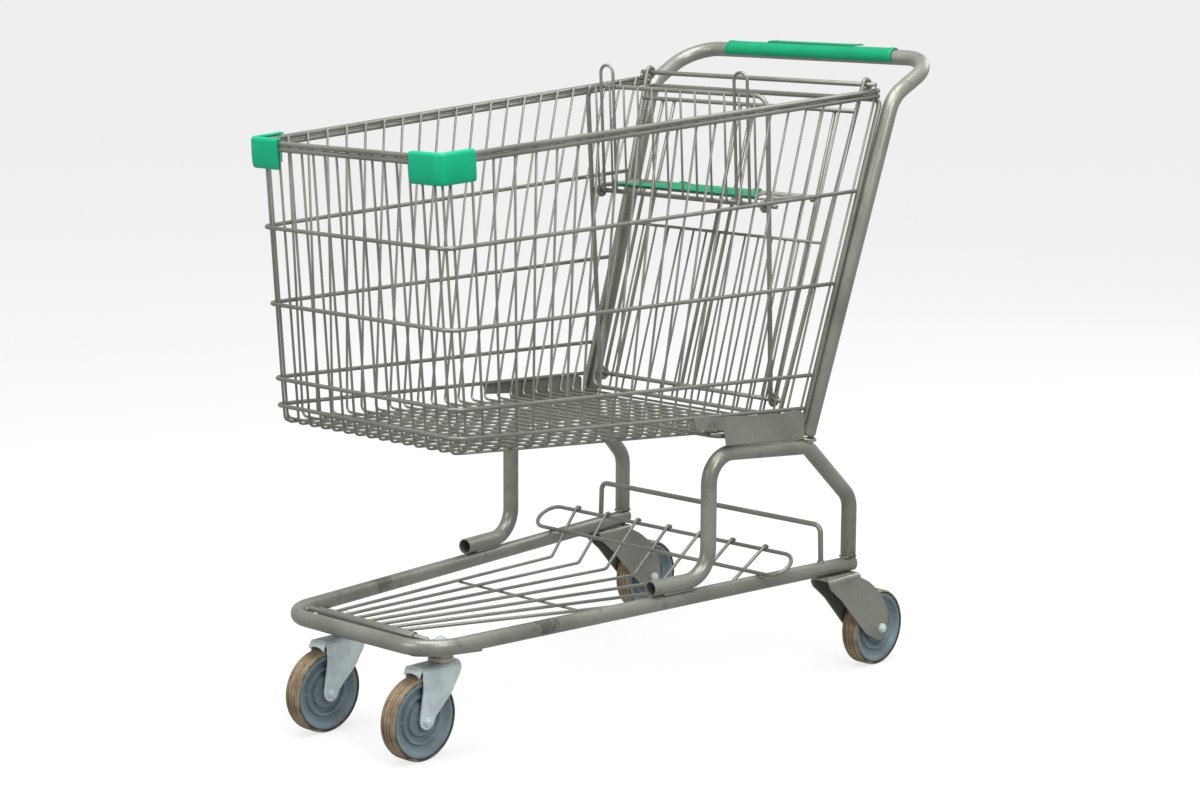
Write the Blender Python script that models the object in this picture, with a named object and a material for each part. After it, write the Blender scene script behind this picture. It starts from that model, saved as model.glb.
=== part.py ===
"""Supermarket shopping cart: wire basket on a tubular frame, fold-up child seat, lower tray, casters.

Metres, +Z up. The nose points to -Y and the handle stands at +Y, so the user's left side is +X.
The origin is on the floor, under the middle of the cart. Run with blender --background --python part.py.
"""
import math

import bmesh
import bpy
from mathutils import Matrix, Vector

# ---------------------------------------------------------------- driving dimensions
FIT = 0.0003                 # gap between pieces that touch
RUN = 0.0006                 # running clearance round a pivot
SIDES = (("left", 1.0), ("right", -1.0))

WHEEL_RADIUS = 0.0625
WHEEL_FACETS = 20
TYRE_WIDTH = 0.030
TYRE_INNER_RADIUS = 0.0490
TYRE_SHOULDER = 0.004
HUB_BOSS_RADIUS = 0.013
HUB_BOSS_WIDTH = 0.032
HUB_RIM_WIDTH = 0.026
HUB_WEB_WIDTH = 0.012
AXLE_RADIUS = 0.0045
FORK_GAP = 0.0345            # between the blades of a fork
FORK_SHEET = 0.0028

NOSE_Y = -0.514              # middle of the front run of the base frame
AXLE_BEHIND_NOSE = 0.030
STEM_BEHIND_NOSE = 0.076
FRONT_AXLE_Y = NOSE_Y + AXLE_BEHIND_NOSE
STEM_Y = NOSE_Y + STEM_BEHIND_NOSE
STEM_X = 0.105
STEM_RADIUS = 0.0055
CASTER_COLLAR = 0.0200         # bearing collar between plate and fork
COLLAR_RADIUS = 0.0190
STUD_RISE = 0.0110             # stud above the plate, past its nut
STUD_NUT_RADIUS = 0.0105
STUD_NUT_HEIGHT = 0.0070
REAR_AXLE_Y = 0.398
REAR_WHEEL_X = 0.2525

RAIL_HEIGHT = 0.0245         # base frame tube, flattened oval
RAIL_WIDTH = 0.020
WHEEL_TO_RAIL = 0.053          # from the top of a wheel to the middle of the rail
RAIL_Z = 2 * WHEEL_RADIUS + WHEEL_TO_RAIL
NOSE_HALF = 0.158            # half width of the rails' middle lines at the nose
NOSE_BEND = 0.060
RAIL_END_Y = 0.346
RAIL_END_HALF = 0.251
MOUNT_PLATE_SHEET = 0.004

TUBE = 0.0125                # radius of the side frames and the handle frame
TUBE_WALL = 0.0016
LEG_Y = 0.026                # middle of the side frame's front leg
LEG_FOOT_Y = -0.092          # open end of the side frame on the rail
SHOULDER_Z = 0.398           # side frame's run under the basket, at its front
SHOULDER_DROP = 0.014
SHOULDER_END_Y = 0.236
REAR_POST_Y = 0.334
REAR_POST_TOP_Z = 0.288
SIDE_BEND = 0.045

UPRIGHT_LEAN = 0.335         # rearward travel for each metre of height
UPRIGHT_FOOT_Y = 0.236
UPRIGHT_TOP_Z = 0.930
HANDLE_Y = 0.524
HANDLE_Z = 0.986
HANDLE_BEND = 0.060

BASKET_FRONT_HALF = 0.197
BASKET_REAR_HALF = 0.249
BASKET_CORNER = 0.020
FLOOR_FRONT = (-0.489, 0.468)     # Y, Z of the floor's front edge
FLOOR_REAR = (0.212, 0.421)
RIM_FRONT = (-0.520, 0.880)
RIM_REAR = (0.398, 0.9365)
HOOP_LEVELS = (0.050, 0.150, 0.425, 0.704)   # share of the height from floor to rim
ROD = 0.0032                 # hoops and rims
WIRE = 0.0020                # half width of the grid wires
RIM_ROD = 0.0040
SIDE_WIRES = 23
FRONT_WIRES = 9
FLOOR_CROSS_WIRES = 16
FLOOR_LONG_WIRES = 7
EDGE_ROD = 0.0042
CROSS_ROD_Z = 0.926

HINGE_ROD = 0.0040
HINGE_Y = 0.378
HINGE_Z = 0.950
GATE_LEAN = 0.310
GATE_TOP_HALF = 0.230
GATE_FOOT_HALF = 0.203
GATE_TOP_Z = 0.908
GATE_MID_Z = 0.702
GATE_PIVOT_Z = 0.455
GATE_FOOT_Z = 0.432
GATE_ROD = 0.0036
LEG_BAR_SPREAD = 0.013
LEG_BAR_X = 0.172
GATE_WIRES = 13
GATE_WIRE_SPAN = 0.168

BACK_LEAN = 0.055            # the seat back leans forward as it rises
BACK_TOP_Z = 0.938
BACK_HALF = 0.193
BACK_FOOT_HALF = 0.186
BACK_ROD = 0.0038
SEAT_Z = 0.765
BACK_WIRES = 12
HEAD_LOOP_X = 0.143
HEAD_LOOP_HALF = 0.0135
HEAD_LOOP_TOP_Z = 0.973
SEAT_DEPTH = 0.095
SEAT_HALF = 0.176
SEAT_BAR_HALF = 0.203        # the seat's rear bar passes its side rods
SEAT_WIRES = 7
FLAP_HALF = 0.150              # along its front edge
FLAP_REAR_HALF = 0.092         # between the leg holes
FLAP_SHEET = 0.0030
FLAP_DEPTH = 0.080
FLAP_CLIP = 0.012
FLAP_EYE_ROOM = 0.0062         # clear way between the seat's last wire and its rear rod

TRAY_PIVOT_BEHIND_NOSE = 0.026
TRAY_PIVOT_Y = NOSE_Y + TRAY_PIVOT_BEHIND_NOSE
TRAY_PIVOT_Z = RAIL_Z + 0.008
TRAY_SLEEVE_HALF = 0.104
TRAY_FRONT_HALF = 0.076
TRAY_KINK = (0.092, RAIL_Z - 0.020)
TRAY_KINK_HALF = 0.186
TRAY_TOP = (0.172, RAIL_Z + 0.039)
TRAY_TOP_HALF = 0.206
TRAY_CROSS_Y = -0.164
TRAY_WIRES = 7
TRAY_LOOP_HALF = 0.272
TRAY_LOOP_WIDTH = 0.052
TRAY_WIRE = 0.0024
TRAY_ROD = 0.0040
TRAY_SLEEVE_WALL = 0.0020

GUARD_Y = 0.272
GUARD_TOP_Z = RAIL_Z + 0.072
GUARD_ROD = 0.0042
GUARD_BEND = 0.013
SUPPORT_Y = 0.040
SUPPORT_HALF = 0.222
SUPPORT_BEND = 0.018
BRACKET_SHEET = 0.0020

GRIP_HALF = 0.178
GRIP_SHEET = 0.0025
PANEL_HALF = 0.093
PANEL_SHEET = 0.0020
PANEL_DEPTH = 0.030
BUMPER_SHEET = 0.0050
BUMPER_HEIGHT = 0.034
BUMPER_REACH = 0.060
BUMPER_CORNER = 0.012
BUMPER_FLANGE = 0.006         # how far it hooks in over the rim

PAINT = ((0.262, 0.270, 0.226), 0.42, 0.65)
ZINC = ((0.62, 0.68, 0.72), 0.28, 0.95)
GREEN = ((0.0, 0.37, 0.20), 0.38, 0.0)
RUBBER = ((0.16, 0.12, 0.08), 0.85, 0.0)
PLASTIC = ((0.19, 0.24, 0.28), 0.50, 0.0)


# ---------------------------------------------------------------- shared tools
def clear_scene():
    for item in list(bpy.data.objects):
        bpy.data.objects.remove(item, do_unlink=True)


def finish_material(name, finish):
    colour, roughness, metallic = finish
    material = bpy.data.materials.new(name)
    material.use_nodes = True
    shader = material.node_tree.nodes["Principled BSDF"]
    shader.inputs["Base Color"].default_value = (*colour, 1.0)
    shader.inputs["Roughness"].default_value = roughness
    shader.inputs["Metallic"].default_value = metallic
    return material


def add_object(name, mesh_builder, finish, parent=None, smooth=True):
    """Turn a bmesh into a named object, outward faces, optionally under a pivot empty."""
    mesh = bpy.data.meshes.new(name)
    bmesh.ops.recalc_face_normals(mesh_builder, faces=mesh_builder.faces)
    mesh_builder.to_mesh(mesh)
    mesh_builder.free()
    if smooth:
        mesh.shade_smooth()
        mesh.set_sharp_from_angle(angle=math.radians(38.0))
    item = bpy.data.objects.new(name, mesh)
    item.data.materials.append(finish_material(name + "_finish", finish))
    bpy.context.collection.objects.link(item)
    if parent is not None:
        item.parent = parent
        item.matrix_parent_inverse = Matrix.Translation(-parent.location)
    return item


def pivot(name, place):
    empty = bpy.data.objects.new(name, None)
    empty.location = place
    bpy.context.collection.objects.link(empty)
    return empty


def join_solids(item, *extras, cut=False):
    """Leave a Boolean on item for each extra solid, and hide the extras as guides."""
    for extra in extras:
        extra.hide_render = True
        extra.display_type = "WIRE"
        modifier = item.modifiers.new("cut" if cut else "join", "BOOLEAN")
        modifier.operation = "DIFFERENCE" if cut else "UNION"
        modifier.solver = "EXACT"
        modifier.object = extra
    return item


def fillet(points, radius, steps=4, closed=False):
    """Round the corners of a polyline with arcs of one radius, or one radius for each corner."""
    points = [Vector(p) for p in points]
    count = len(points)
    radii = radius if isinstance(radius, (list, tuple)) else [radius] * count
    path = []
    for index, corner in enumerate(points):
        if not closed and index in (0, count - 1):
            path.append(corner)
            continue
        towards = (points[index - 1] - corner).normalized()
        away = (points[(index + 1) % count] - corner).normalized()
        angle = towards.angle(away)
        if angle > math.radians(178.0) or radii[index] <= 0.0:
            path.append(corner)
            continue
        setback = radii[index] / math.tan(angle / 2)
        bisector = (towards + away).normalized()
        centre = corner + bisector * (radii[index] / math.sin(angle / 2))
        start = corner + towards * setback - centre
        end = corner + away * setback - centre
        turn = start.angle(end)
        axis = start.cross(end).normalized()
        for step in range(steps + 1):
            path.append(centre + Matrix.Rotation(turn * step / steps, 3, axis) @ start)
    return path


def round_section(radius, sides=8, width=None):
    """Points of a round or oval tube section: (across, up)."""
    across = radius if width is None else width / 2
    start = math.pi / sides
    return [(across * math.cos(start + 2 * math.pi * k / sides), radius * math.sin(start + 2 * math.pi * k / sides))
            for k in range(sides)]


def sweep(path, section, closed=False, up=(0.0, 0.0, 1.0)):
    """Carry a section along a path, keeping it square to the path; ends are capped."""
    mesh = bmesh.new()
    path = [Vector(p) for p in path]
    count = len(path)
    rings = []
    side = None
    for index, place in enumerate(path):
        before = path[index - 1] if closed or index else None
        after = path[(index + 1) % count] if closed or index < count - 1 else None
        into = (place - before).normalized() if before is not None else (after - place).normalized()
        out = (after - place).normalized() if after is not None else into
        along = (into + out).normalized()
        stretch = 1.0 / max(0.5, along.dot(out))
        if side is None:
            side = along.cross(Vector(up))
            if side.length < 0.05:
                side = along.cross(Vector((0.0, 1.0, 0.0)))
        side = (side - along * side.dot(along)).normalized()
        lift = side.cross(along).normalized()
        bend = out - into
        bend_direction = bend.normalized() if bend.length > 1e-6 else None
        ring = []
        for across, height in section:
            offset = side * across + lift * height
            if bend_direction is not None:
                offset += bend_direction * offset.dot(bend_direction) * (stretch - 1.0)
            ring.append(mesh.verts.new(place + offset))
        rings.append(ring)
    sides = len(section)
    spans = range(count if closed else count - 1)
    for index in spans:
        first, second = rings[index], rings[(index + 1) % count]
        for k in range(sides):
            mesh.faces.new((first[k], first[(k + 1) % sides], second[(k + 1) % sides], second[k]))
    if not closed:
        mesh.faces.new(list(reversed(rings[0])))
        mesh.faces.new(rings[-1])
    return mesh


def rod(name, points, radius, finish=PAINT, bend=0.0, sides=6, steps=3, closed=False, parent=None):
    path = fillet(points, bend, steps, closed) if bend else points
    return add_object(name, sweep(path, round_section(radius, sides), closed), finish, parent)


def lattice(place, columns, rows, half_wire, half_sheet, breaks=(), row_overhang=0.0):
    """A flat wire grid as one solid.

    place(u, v, w) gives the point for a column coordinate u, a row coordinate v and a height w off
    the sheet. columns are the u of the wires that run along v, rows the v of those that run along u.
    breaks are further v where the sheet may bend, and row_overhang is how far the rows pass the
    outer columns.
    """
    def strips(lines, more=()):
        edges = sorted({round(x, 7) for line in lines for x in (line - half_wire, line + half_wire)} | set(more))
        return edges
    ends = {min(columns) - half_wire - row_overhang, max(columns) + half_wire + row_overhang}
    u_edges = strips(columns, ends if row_overhang else ())
    v_edges = strips(rows, breaks)

    def on(lines, low, high):
        middle = (low + high) / 2
        return any(abs(middle - line) < half_wire for line in lines)

    filled = {}
    for i in range(len(u_edges) - 1):
        in_column = on(columns, u_edges[i], u_edges[i + 1])
        for j in range(len(v_edges) - 1):
            in_row = on(rows, v_edges[j], v_edges[j + 1])
            filled[i, j] = in_column or in_row
    mesh = bmesh.new()
    corners = {}

    def corner(i, j, top):
        key = (i, j, top)
        if key not in corners:
            corners[key] = mesh.verts.new(place(u_edges[i], v_edges[j], half_sheet if top else -half_sheet))
        return corners[key]

    for (i, j), is_on in filled.items():
        if not is_on:
            continue
        mesh.faces.new((corner(i, j, 1), corner(i + 1, j, 1), corner(i + 1, j + 1, 1), corner(i, j + 1, 1)))
        mesh.faces.new((corner(i, j, 0), corner(i, j + 1, 0), corner(i + 1, j + 1, 0), corner(i + 1, j, 0)))
        around = (((i - 1, j), (i, j), (i, j + 1)), ((i + 1, j), (i + 1, j + 1), (i + 1, j)),
                  ((i, j - 1), (i + 1, j), (i, j)), ((i, j + 1), (i, j + 1), (i + 1, j + 1)))
        for neighbour, first, second in around:
            if not filled.get(neighbour, False):
                mesh.faces.new((corner(*first, 0), corner(*second, 0), corner(*second, 1), corner(*first, 1)))
    return mesh


def turned(profile, segments, axis="Z", centre=(0.0, 0.0, 0.0)):
    """Turn a closed outline of (radius, height) points round an axis."""
    mesh = bmesh.new()
    rings = []
    for k in range(segments):
        angle = 2 * math.pi * k / segments
        ring = []
        for radius, height in profile:
            if axis == "Z":
                point = (radius * math.cos(angle), radius * math.sin(angle), height)
            else:
                point = (height, radius * math.cos(angle), radius * math.sin(angle))
            ring.append(mesh.verts.new(Vector(point) + Vector(centre)))
        rings.append(ring)
    closed_outline = all(radius > 1e-6 for radius, _ in profile)
    spans = range(len(profile) if closed_outline else len(profile) - 1)
    for k in range(segments):
        first, second = rings[k], rings[(k + 1) % segments]
        for j in spans:
            mesh.faces.new((first[j], second[j], second[(j + 1) % len(profile)], first[(j + 1) % len(profile)]))
    bmesh.ops.remove_doubles(mesh, verts=mesh.verts, dist=1e-6)
    return mesh


def extruded(outline, low, high, axis="X"):
    """Extrude a closed outline along X, Y or Z; outline points are the other two coordinates."""
    mesh = bmesh.new()

    def point(a, b, along):
        return {"X": (along, a, b), "Y": (a, along, b), "Z": (a, b, along)}[axis]
    first = [mesh.verts.new(point(a, b, low)) for a, b in outline]
    second = [mesh.verts.new(point(a, b, high)) for a, b in outline]
    count = len(outline)
    mesh.faces.new(list(reversed(first)))
    mesh.faces.new(second)
    for k in range(count):
        mesh.faces.new((first[k], first[(k + 1) % count], second[(k + 1) % count], second[k]))
    return mesh


def spread(low, high, count):
    return [low + (high - low) * k / (count - 1) for k in range(count)]


def mix(a, b, share):
    return a + (b - a) * share


# ---------------------------------------------------------------- where the main lines run
def rail_x(y):
    """Half width of the base frame's rail, at its middle line."""
    return mix(NOSE_HALF, RAIL_END_HALF, (y - NOSE_Y) / (RAIL_END_Y - NOSE_Y))


RAIL_TOP_Z = RAIL_Z + RAIL_HEIGHT / 2
RAIL_FOOT_Z = RAIL_Z - RAIL_HEIGHT / 2
SHOULDER_END_Z = SHOULDER_Z - SHOULDER_DROP
UPRIGHT_SLANT = math.hypot(1.0, UPRIGHT_LEAN)
UPRIGHT_FOOT_Z = SHOULDER_END_Z + TUBE * (1.0 + UPRIGHT_LEAN / UPRIGHT_SLANT) + FIT
WALL_INSET = ROD + WIRE + FIT          # the grid wires stand inside the hoops


def upright_y(z):
    return UPRIGHT_FOOT_Y + UPRIGHT_LEAN * (z - UPRIGHT_FOOT_Z)


def edge_rod_y(z):
    """The basket's rear edge rods lie against the fronts of the uprights."""
    return upright_y(z) - (TUBE + EDGE_ROD + FIT) * UPRIGHT_SLANT


def front_line(level):
    """Y, Z of the basket's front at a share of its height."""
    return mix(FLOOR_FRONT[0], RIM_FRONT[0], level), mix(FLOOR_FRONT[1], RIM_FRONT[1], level)


def rear_line(level):
    """Y, Z where the basket's sides end, just ahead of the rear edge rods."""
    z = mix(FLOOR_REAR[1], RIM_REAR[1], level)
    return edge_rod_y(z) - EDGE_ROD * UPRIGHT_SLANT - 2 * RIM_ROD * UPRIGHT_LEAN - 2 * FIT, z


def basket_x(y):
    """Half width of the basket's wall."""
    share = (y - RIM_FRONT[0]) / (RIM_REAR[0] - RIM_FRONT[0])
    return mix(BASKET_FRONT_HALF, BASKET_REAR_HALF, share)


def wall_path(level, inset=0.0, steps=4):
    """The basket's outline at one level: from one rear end, round the nose, to the other."""
    front_y, front_z = front_line(level)
    rear_y, rear_z = rear_line(level)
    corner = BASKET_CORNER - inset
    half = basket_x(front_y) - inset
    start = Vector((basket_x(rear_y) - inset, rear_y, rear_z))
    corner_point = Vector((half, front_y + inset, front_z))
    mirrored = [Vector((-p.x, p.y, p.z)) for p in (corner_point, start)]
    return fillet([start, corner_point, *mirrored], corner, steps)


GATE_EYE = HINGE_ROD + RUN + GATE_ROD  # middle radius of the eyes on the hinge rod
GATE_SLANT = math.hypot(1.0, GATE_LEAN)


def gate_y(z):
    """The gate's sheet: its rods run just ahead of the hinge rod."""
    return HINGE_Y - GATE_EYE * GATE_SLANT - GATE_LEAN * (HINGE_Z - z)


def gate_half(z):
    return mix(GATE_FOOT_HALF, GATE_TOP_HALF, (z - GATE_FOOT_Z) / (GATE_TOP_Z - GATE_FOOT_Z))


def gate_point(x, z, off=0.0):
    """A point on the gate; off is measured square to it, towards the handle."""
    return Vector((x, gate_y(z) + off / GATE_SLANT, z - off * GATE_LEAN / GATE_SLANT))


def hook(centre, radius, start_angle, turn, steps=10):
    """Points of an eye bent round an axis along X: angles run from +Y towards +Z."""
    return [Vector((centre[0], centre[1] + radius * math.cos(start_angle + turn * k / steps),
                    centre[2] + radius * math.sin(start_angle + turn * k / steps))) for k in range(steps + 1)]


# ---------------------------------------------------------------- base
def base_frame():
    corner = Vector((NOSE_HALF, NOSE_Y, RAIL_Z))
    end = Vector((RAIL_END_HALF, RAIL_END_Y, RAIL_Z))
    path = fillet([end, corner, (-corner.x, corner.y, corner.z), (-end.x, end.y, end.z)], NOSE_BEND, 5)
    add_object("base_frame", sweep(path, round_section(RAIL_HEIGHT / 2, 12, RAIL_WIDTH)), PAINT)


def mount_plates():
    """Gussets under the nose corners that take the caster stems."""
    low = RAIL_FOOT_Z - FIT - MOUNT_PLATE_SHEET
    for side, sign in SIDES:
        edge = STEM_Y + 0.024
        outline = [(STEM_X - 0.036, NOSE_Y + 0.010), (STEM_X + 0.014, NOSE_Y + 0.010),
                   (STEM_X + 0.042, STEM_Y - 0.042), (rail_x(edge) - 0.001, edge), (STEM_X + 0.026, edge),
                   (STEM_X - 0.022, STEM_Y + 0.020), (STEM_X - 0.036, STEM_Y - 0.010)]
        plate = add_object("caster_plate_" + side, extruded([(sign * x, y) for x, y in outline],
                           low, low + MOUNT_PLATE_SHEET, "Z"), PAINT, smooth=False)
        bore = [(STEM_RADIUS + FIT, low - 0.01), (STEM_RADIUS + FIT, low + 0.02), (0.0, low + 0.02), (0.0, low - 0.01)]
        drill = add_object("caster_plate_drill_" + side, turned(bore, 12, centre=(sign * STEM_X, STEM_Y, 0.0)), PAINT)
        join_solids(plate, drill, cut=True)


def caster_stems():
    """Stud, top nut, bearing collar and the flange that holds the fork."""
    plate_low = RAIL_FOOT_Z - FIT - MOUNT_PLATE_SHEET
    nut_low = RAIL_FOOT_Z
    fork_top = plate_low - FIT - CASTER_COLLAR
    fork_low = fork_top - 2 * FIT - FORK_SHEET
    nut_top = nut_low + STUD_NUT_HEIGHT
    profile = [(0.0, nut_low + STUD_RISE), (STEM_RADIUS, nut_low + STUD_RISE), (STEM_RADIUS, nut_top),
               (STUD_NUT_RADIUS, nut_top), (STUD_NUT_RADIUS, nut_low), (STEM_RADIUS, nut_low),
               (STEM_RADIUS, plate_low - FIT), (COLLAR_RADIUS, plate_low - FIT), (COLLAR_RADIUS, fork_top + FIT),
               (STEM_RADIUS, fork_top + FIT),
               (STEM_RADIUS, fork_low), (0.0095, fork_low), (0.0095, fork_low - 0.004), (0.0, fork_low - 0.004)]
    for side, sign in SIDES:
        add_object("caster_stem_" + side, turned(profile, 12, centre=(sign * STEM_X, STEM_Y, 0.0)), ZINC)


def cut_fork(name, outline, inner, middle_x, axle, finish, parent=None):
    """A folded fork: the outline right across, less the room for the wheel, drilled for its axle."""
    half = FORK_GAP / 2 + FORK_SHEET
    fork = add_object(name, extruded(outline, middle_x - half, middle_x + half), finish, parent, smooth=False)
    room = add_object(name + "_room", extruded(inner, middle_x - FORK_GAP / 2, middle_x + FORK_GAP / 2), finish)
    bore = [(AXLE_RADIUS + FIT, -0.05), (AXLE_RADIUS + FIT, 0.05), (0.0, 0.05), (0.0, -0.05)]
    drill = add_object(name + "_drill", turned(bore, 12, "X", (middle_x, *axle)), finish)
    for guide in (room, drill):
        guide.parent = parent
        if parent is not None:
            guide.matrix_parent_inverse = Matrix.Translation(-parent.location)
    return join_solids(fork, room, drill, cut=True)


def arc(centre, radius, start, end, steps):
    """Points of an arc in degrees: (first, second) coordinates."""
    return [(centre[0] + radius * math.cos(math.radians(mix(start, end, k / steps))),
             centre[1] + radius * math.sin(math.radians(mix(start, end, k / steps)))) for k in range(steps + 1)]


def rear_forks():
    """Stamped channels under the ends of the base frame; their blades reach back to the axles."""
    top = RAIL_FOOT_Z - FIT
    axle = (REAR_AXLE_Y, WHEEL_RADIUS)
    y, z = axle
    clear = z + WHEEL_RADIUS + 0.0075
    outline = [(y - 0.138, top), (y - 0.138, top - 0.012), (y - 0.102, z + 0.062), (y - 0.072, z + 0.030),
               (y - 0.038, z - 0.006), *arc((y - 0.002, z - 0.001), 0.0195, 215, 375, 6),
               (y + 0.013, z + 0.034), (y - 0.008, z + 0.060), (y - 0.030, clear + 0.010), (y - 0.060, top)]
    room = [(y - 0.20, top - FORK_SHEET), (y - 0.062, top - FORK_SHEET), (y - 0.034, clear + 0.006),
            (y - 0.034, clear), (y + 0.06, clear), (y + 0.06, 0.0), (y - 0.20, 0.0)]
    for side, sign in SIDES:
        cut_fork("rear_fork_" + side, outline, room, sign * REAR_WHEEL_X, axle, PAINT)


def caster_forks(parents):
    """Zinc plated swivel forks; the wheels trail ahead of the stems, as the cart is being pulled back."""
    top = RAIL_FOOT_Z - 2 * FIT - MOUNT_PLATE_SHEET - CASTER_COLLAR - FIT
    axle = (FRONT_AXLE_Y, WHEEL_RADIUS)
    y, z = axle
    outline = [(y - 0.004, top), (y + 0.066, top), (y + 0.070, top - 0.010), (y + 0.064, top - 0.026),
               (y + 0.046, z + 0.030), *reversed(arc((y, z), 0.0130, 170, 325, 7)),
               (y - 0.003, z + 0.055), (y - 0.008, top - 0.010)]
    room = [(y - 0.03, top - FORK_SHEET), (y + 0.09, top - FORK_SHEET), (y + 0.09, 0.0), (y - 0.03, 0.0)]
    for side, sign in SIDES:
        fork = cut_fork("caster_fork_" + side, outline, room, sign * STEM_X, axle, ZINC, parents[side])
        bore = [(STEM_RADIUS + FIT, top - 0.02), (STEM_RADIUS + FIT, top + 0.02), (0.0, top + 0.02), (0.0, top - 0.02)]
        drill = add_object("caster_fork_king_drill_" + side,
                           turned(bore, 12, centre=(sign * STEM_X, STEM_Y, 0.0)), ZINC, parents[side])
        join_solids(fork, drill, cut=True)


def axle_bolt(name, middle, parent=None):
    """Bolt with its head and nut, through both blades of a fork."""
    reach = FORK_GAP / 2 + FORK_SHEET + FIT
    profile = [(0.0, -reach - 0.0055), (0.0070, -reach - 0.0055), (0.0070, -reach), (AXLE_RADIUS, -reach),
               (AXLE_RADIUS, reach), (0.0070, reach), (0.0070, reach + 0.0045), (AXLE_RADIUS, reach + 0.0045),
               (AXLE_RADIUS, reach + 0.0065), (0.0, reach + 0.0065)]
    add_object(name, turned(profile, 12, "X", middle), ZINC, parent)


def wheel(name, middle, parent):
    """Rubber tyre on a plastic hub that turns on its bolt."""
    half, inner = TYRE_WIDTH / 2, TYRE_INNER_RADIUS
    tread = [(inner, -HUB_RIM_WIDTH / 2), (WHEEL_RADIUS - TYRE_SHOULDER, -half), (WHEEL_RADIUS - 0.001, -half * 0.72),
             (WHEEL_RADIUS, -half * 0.40), (WHEEL_RADIUS, half * 0.40), (WHEEL_RADIUS - 0.001, half * 0.72),
             (WHEEL_RADIUS - TYRE_SHOULDER, half), (inner, HUB_RIM_WIDTH / 2)]
    add_object(name + "_tyre", turned(tread, WHEEL_FACETS, "X", middle), RUBBER, parent)
    bore, boss, web, rim = AXLE_RADIUS + RUN, HUB_BOSS_WIDTH / 2, HUB_WEB_WIDTH / 2, HUB_RIM_WIDTH / 2
    one_side = [(bore, boss), (HUB_BOSS_RADIUS, boss), (HUB_BOSS_RADIUS + 0.002, web), (inner - 0.009, web),
                (inner - 0.006, rim), (inner - FIT, rim)]
    profile = [(radius, -x) for radius, x in one_side] + list(reversed(one_side))
    add_object(name + "_hub", turned(profile, WHEEL_FACETS, "X", middle), PLASTIC, parent)


def wheels(caster_pivots):
    for side, sign in SIDES:
        front = (sign * STEM_X, FRONT_AXLE_Y, WHEEL_RADIUS)
        rear = (sign * REAR_WHEEL_X, REAR_AXLE_Y, WHEEL_RADIUS)
        axle_bolt("front_axle_bolt_" + side, front, caster_pivots[side])
        axle_bolt("rear_axle_bolt_" + side, rear)
        wheel("front_wheel_" + side, front, pivot("front_wheel_pivot_" + side, front))
        wheel("rear_wheel_" + side, rear, pivot("rear_wheel_pivot_" + side, rear))


# ---------------------------------------------------------------- upper frame
def side_frames():
    """One bent tube each side: foot on the rail, leg, run under the basket, brace, rear post."""
    foot_z = RAIL_TOP_Z + TUBE + FIT
    line = [(LEG_FOOT_Y, foot_z), (LEG_Y, foot_z), (LEG_Y, SHOULDER_Z), (SHOULDER_END_Y, SHOULDER_END_Z),
            (REAR_POST_Y, REAR_POST_TOP_Z), (REAR_POST_Y, RAIL_TOP_Z + FIT)]
    for side, sign in SIDES:
        points = [(sign * rail_x(y), y, z) for y, z in line]
        path = fillet(points, [0, SIDE_BEND, SIDE_BEND, 0.028, 0.040, 0], 4)
        frame = add_object("side_frame_" + side, sweep(path, round_section(TUBE, 10)), PAINT)
        start = Vector(points[0])
        along = (Vector(points[1]) - start).normalized()
        bore = sweep([start - along * 0.01, start + along * 0.045], round_section(TUBE - TUBE_WALL, 10))
        join_solids(frame, add_object("side_frame_bore_" + side, bore, PAINT), cut=True)


def handle_frame():
    low = (UPRIGHT_FOOT_Y, UPRIGHT_FOOT_Z)
    bend = (upright_y(UPRIGHT_TOP_Z), UPRIGHT_TOP_Z)
    bar = (HANDLE_Y, HANDLE_Z)
    left = [(rail_x(low[0]), *low), (rail_x(bend[0]), *bend), (rail_x(bend[0]) + 0.004, *bar)]
    right = [(-x, y, z) for x, y, z in reversed(left)]
    path = fillet(left + right, [0, HANDLE_BEND, HANDLE_BEND, HANDLE_BEND, HANDLE_BEND, 0], 5)
    add_object("handle_frame", sweep(path, round_section(TUBE, 10)), PAINT)


def handle_grip():
    """Half sleeve over the bar, open beneath, with a blank card holder on top."""
    outer, inner = TUBE + FIT + GRIP_SHEET, TUBE + FIT
    centre = (HANDLE_Y, HANDLE_Z)
    outline = arc(centre, outer, -25, 215, 10) + list(reversed(arc(centre, inner, -25, 215, 10)))
    add_object("handle_grip", extruded(outline, -GRIP_HALF, GRIP_HALF), GREEN)
    low = HANDLE_Z + outer + FIT
    panel = [(HANDLE_Y - 0.004, low), (HANDLE_Y - 0.004 + PANEL_DEPTH, low),
             (HANDLE_Y - 0.004 + PANEL_DEPTH, low + PANEL_SHEET), (HANDLE_Y - 0.004, low + PANEL_SHEET)]
    add_object("card_panel", extruded(panel, -PANEL_HALF, PANEL_HALF), GREEN, smooth=False)


def rear_guard():
    half = rail_x(GUARD_Y)
    foot = RAIL_TOP_Z + FIT
    rod("rear_guard_rod", [(half, GUARD_Y, foot), (half - 0.002, GUARD_Y, GUARD_TOP_Z),
        (-half + 0.002, GUARD_Y, GUARD_TOP_Z), (-half, GUARD_Y, foot)], GUARD_ROD, bend=GUARD_BEND, steps=3)


def floor_z(y):
    share = (y - FLOOR_FRONT[0]) / (FLOOR_REAR[0] - FLOOR_FRONT[0])
    return mix(FLOOR_FRONT[1], FLOOR_REAR[1], share)


def support_rod():
    """U-shaped rod under the rear of the basket floor."""
    drop = WIRE + RIM_ROD + FIT
    end_y = FLOOR_REAR[0]
    points = [(SUPPORT_HALF, end_y, floor_z(end_y) - drop), (SUPPORT_HALF, SUPPORT_Y, floor_z(SUPPORT_Y) - drop)]
    rod("basket_support_rod", points + [(-x, y, z) for x, y, z in reversed(points)], RIM_ROD, bend=SUPPORT_BEND)


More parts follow.
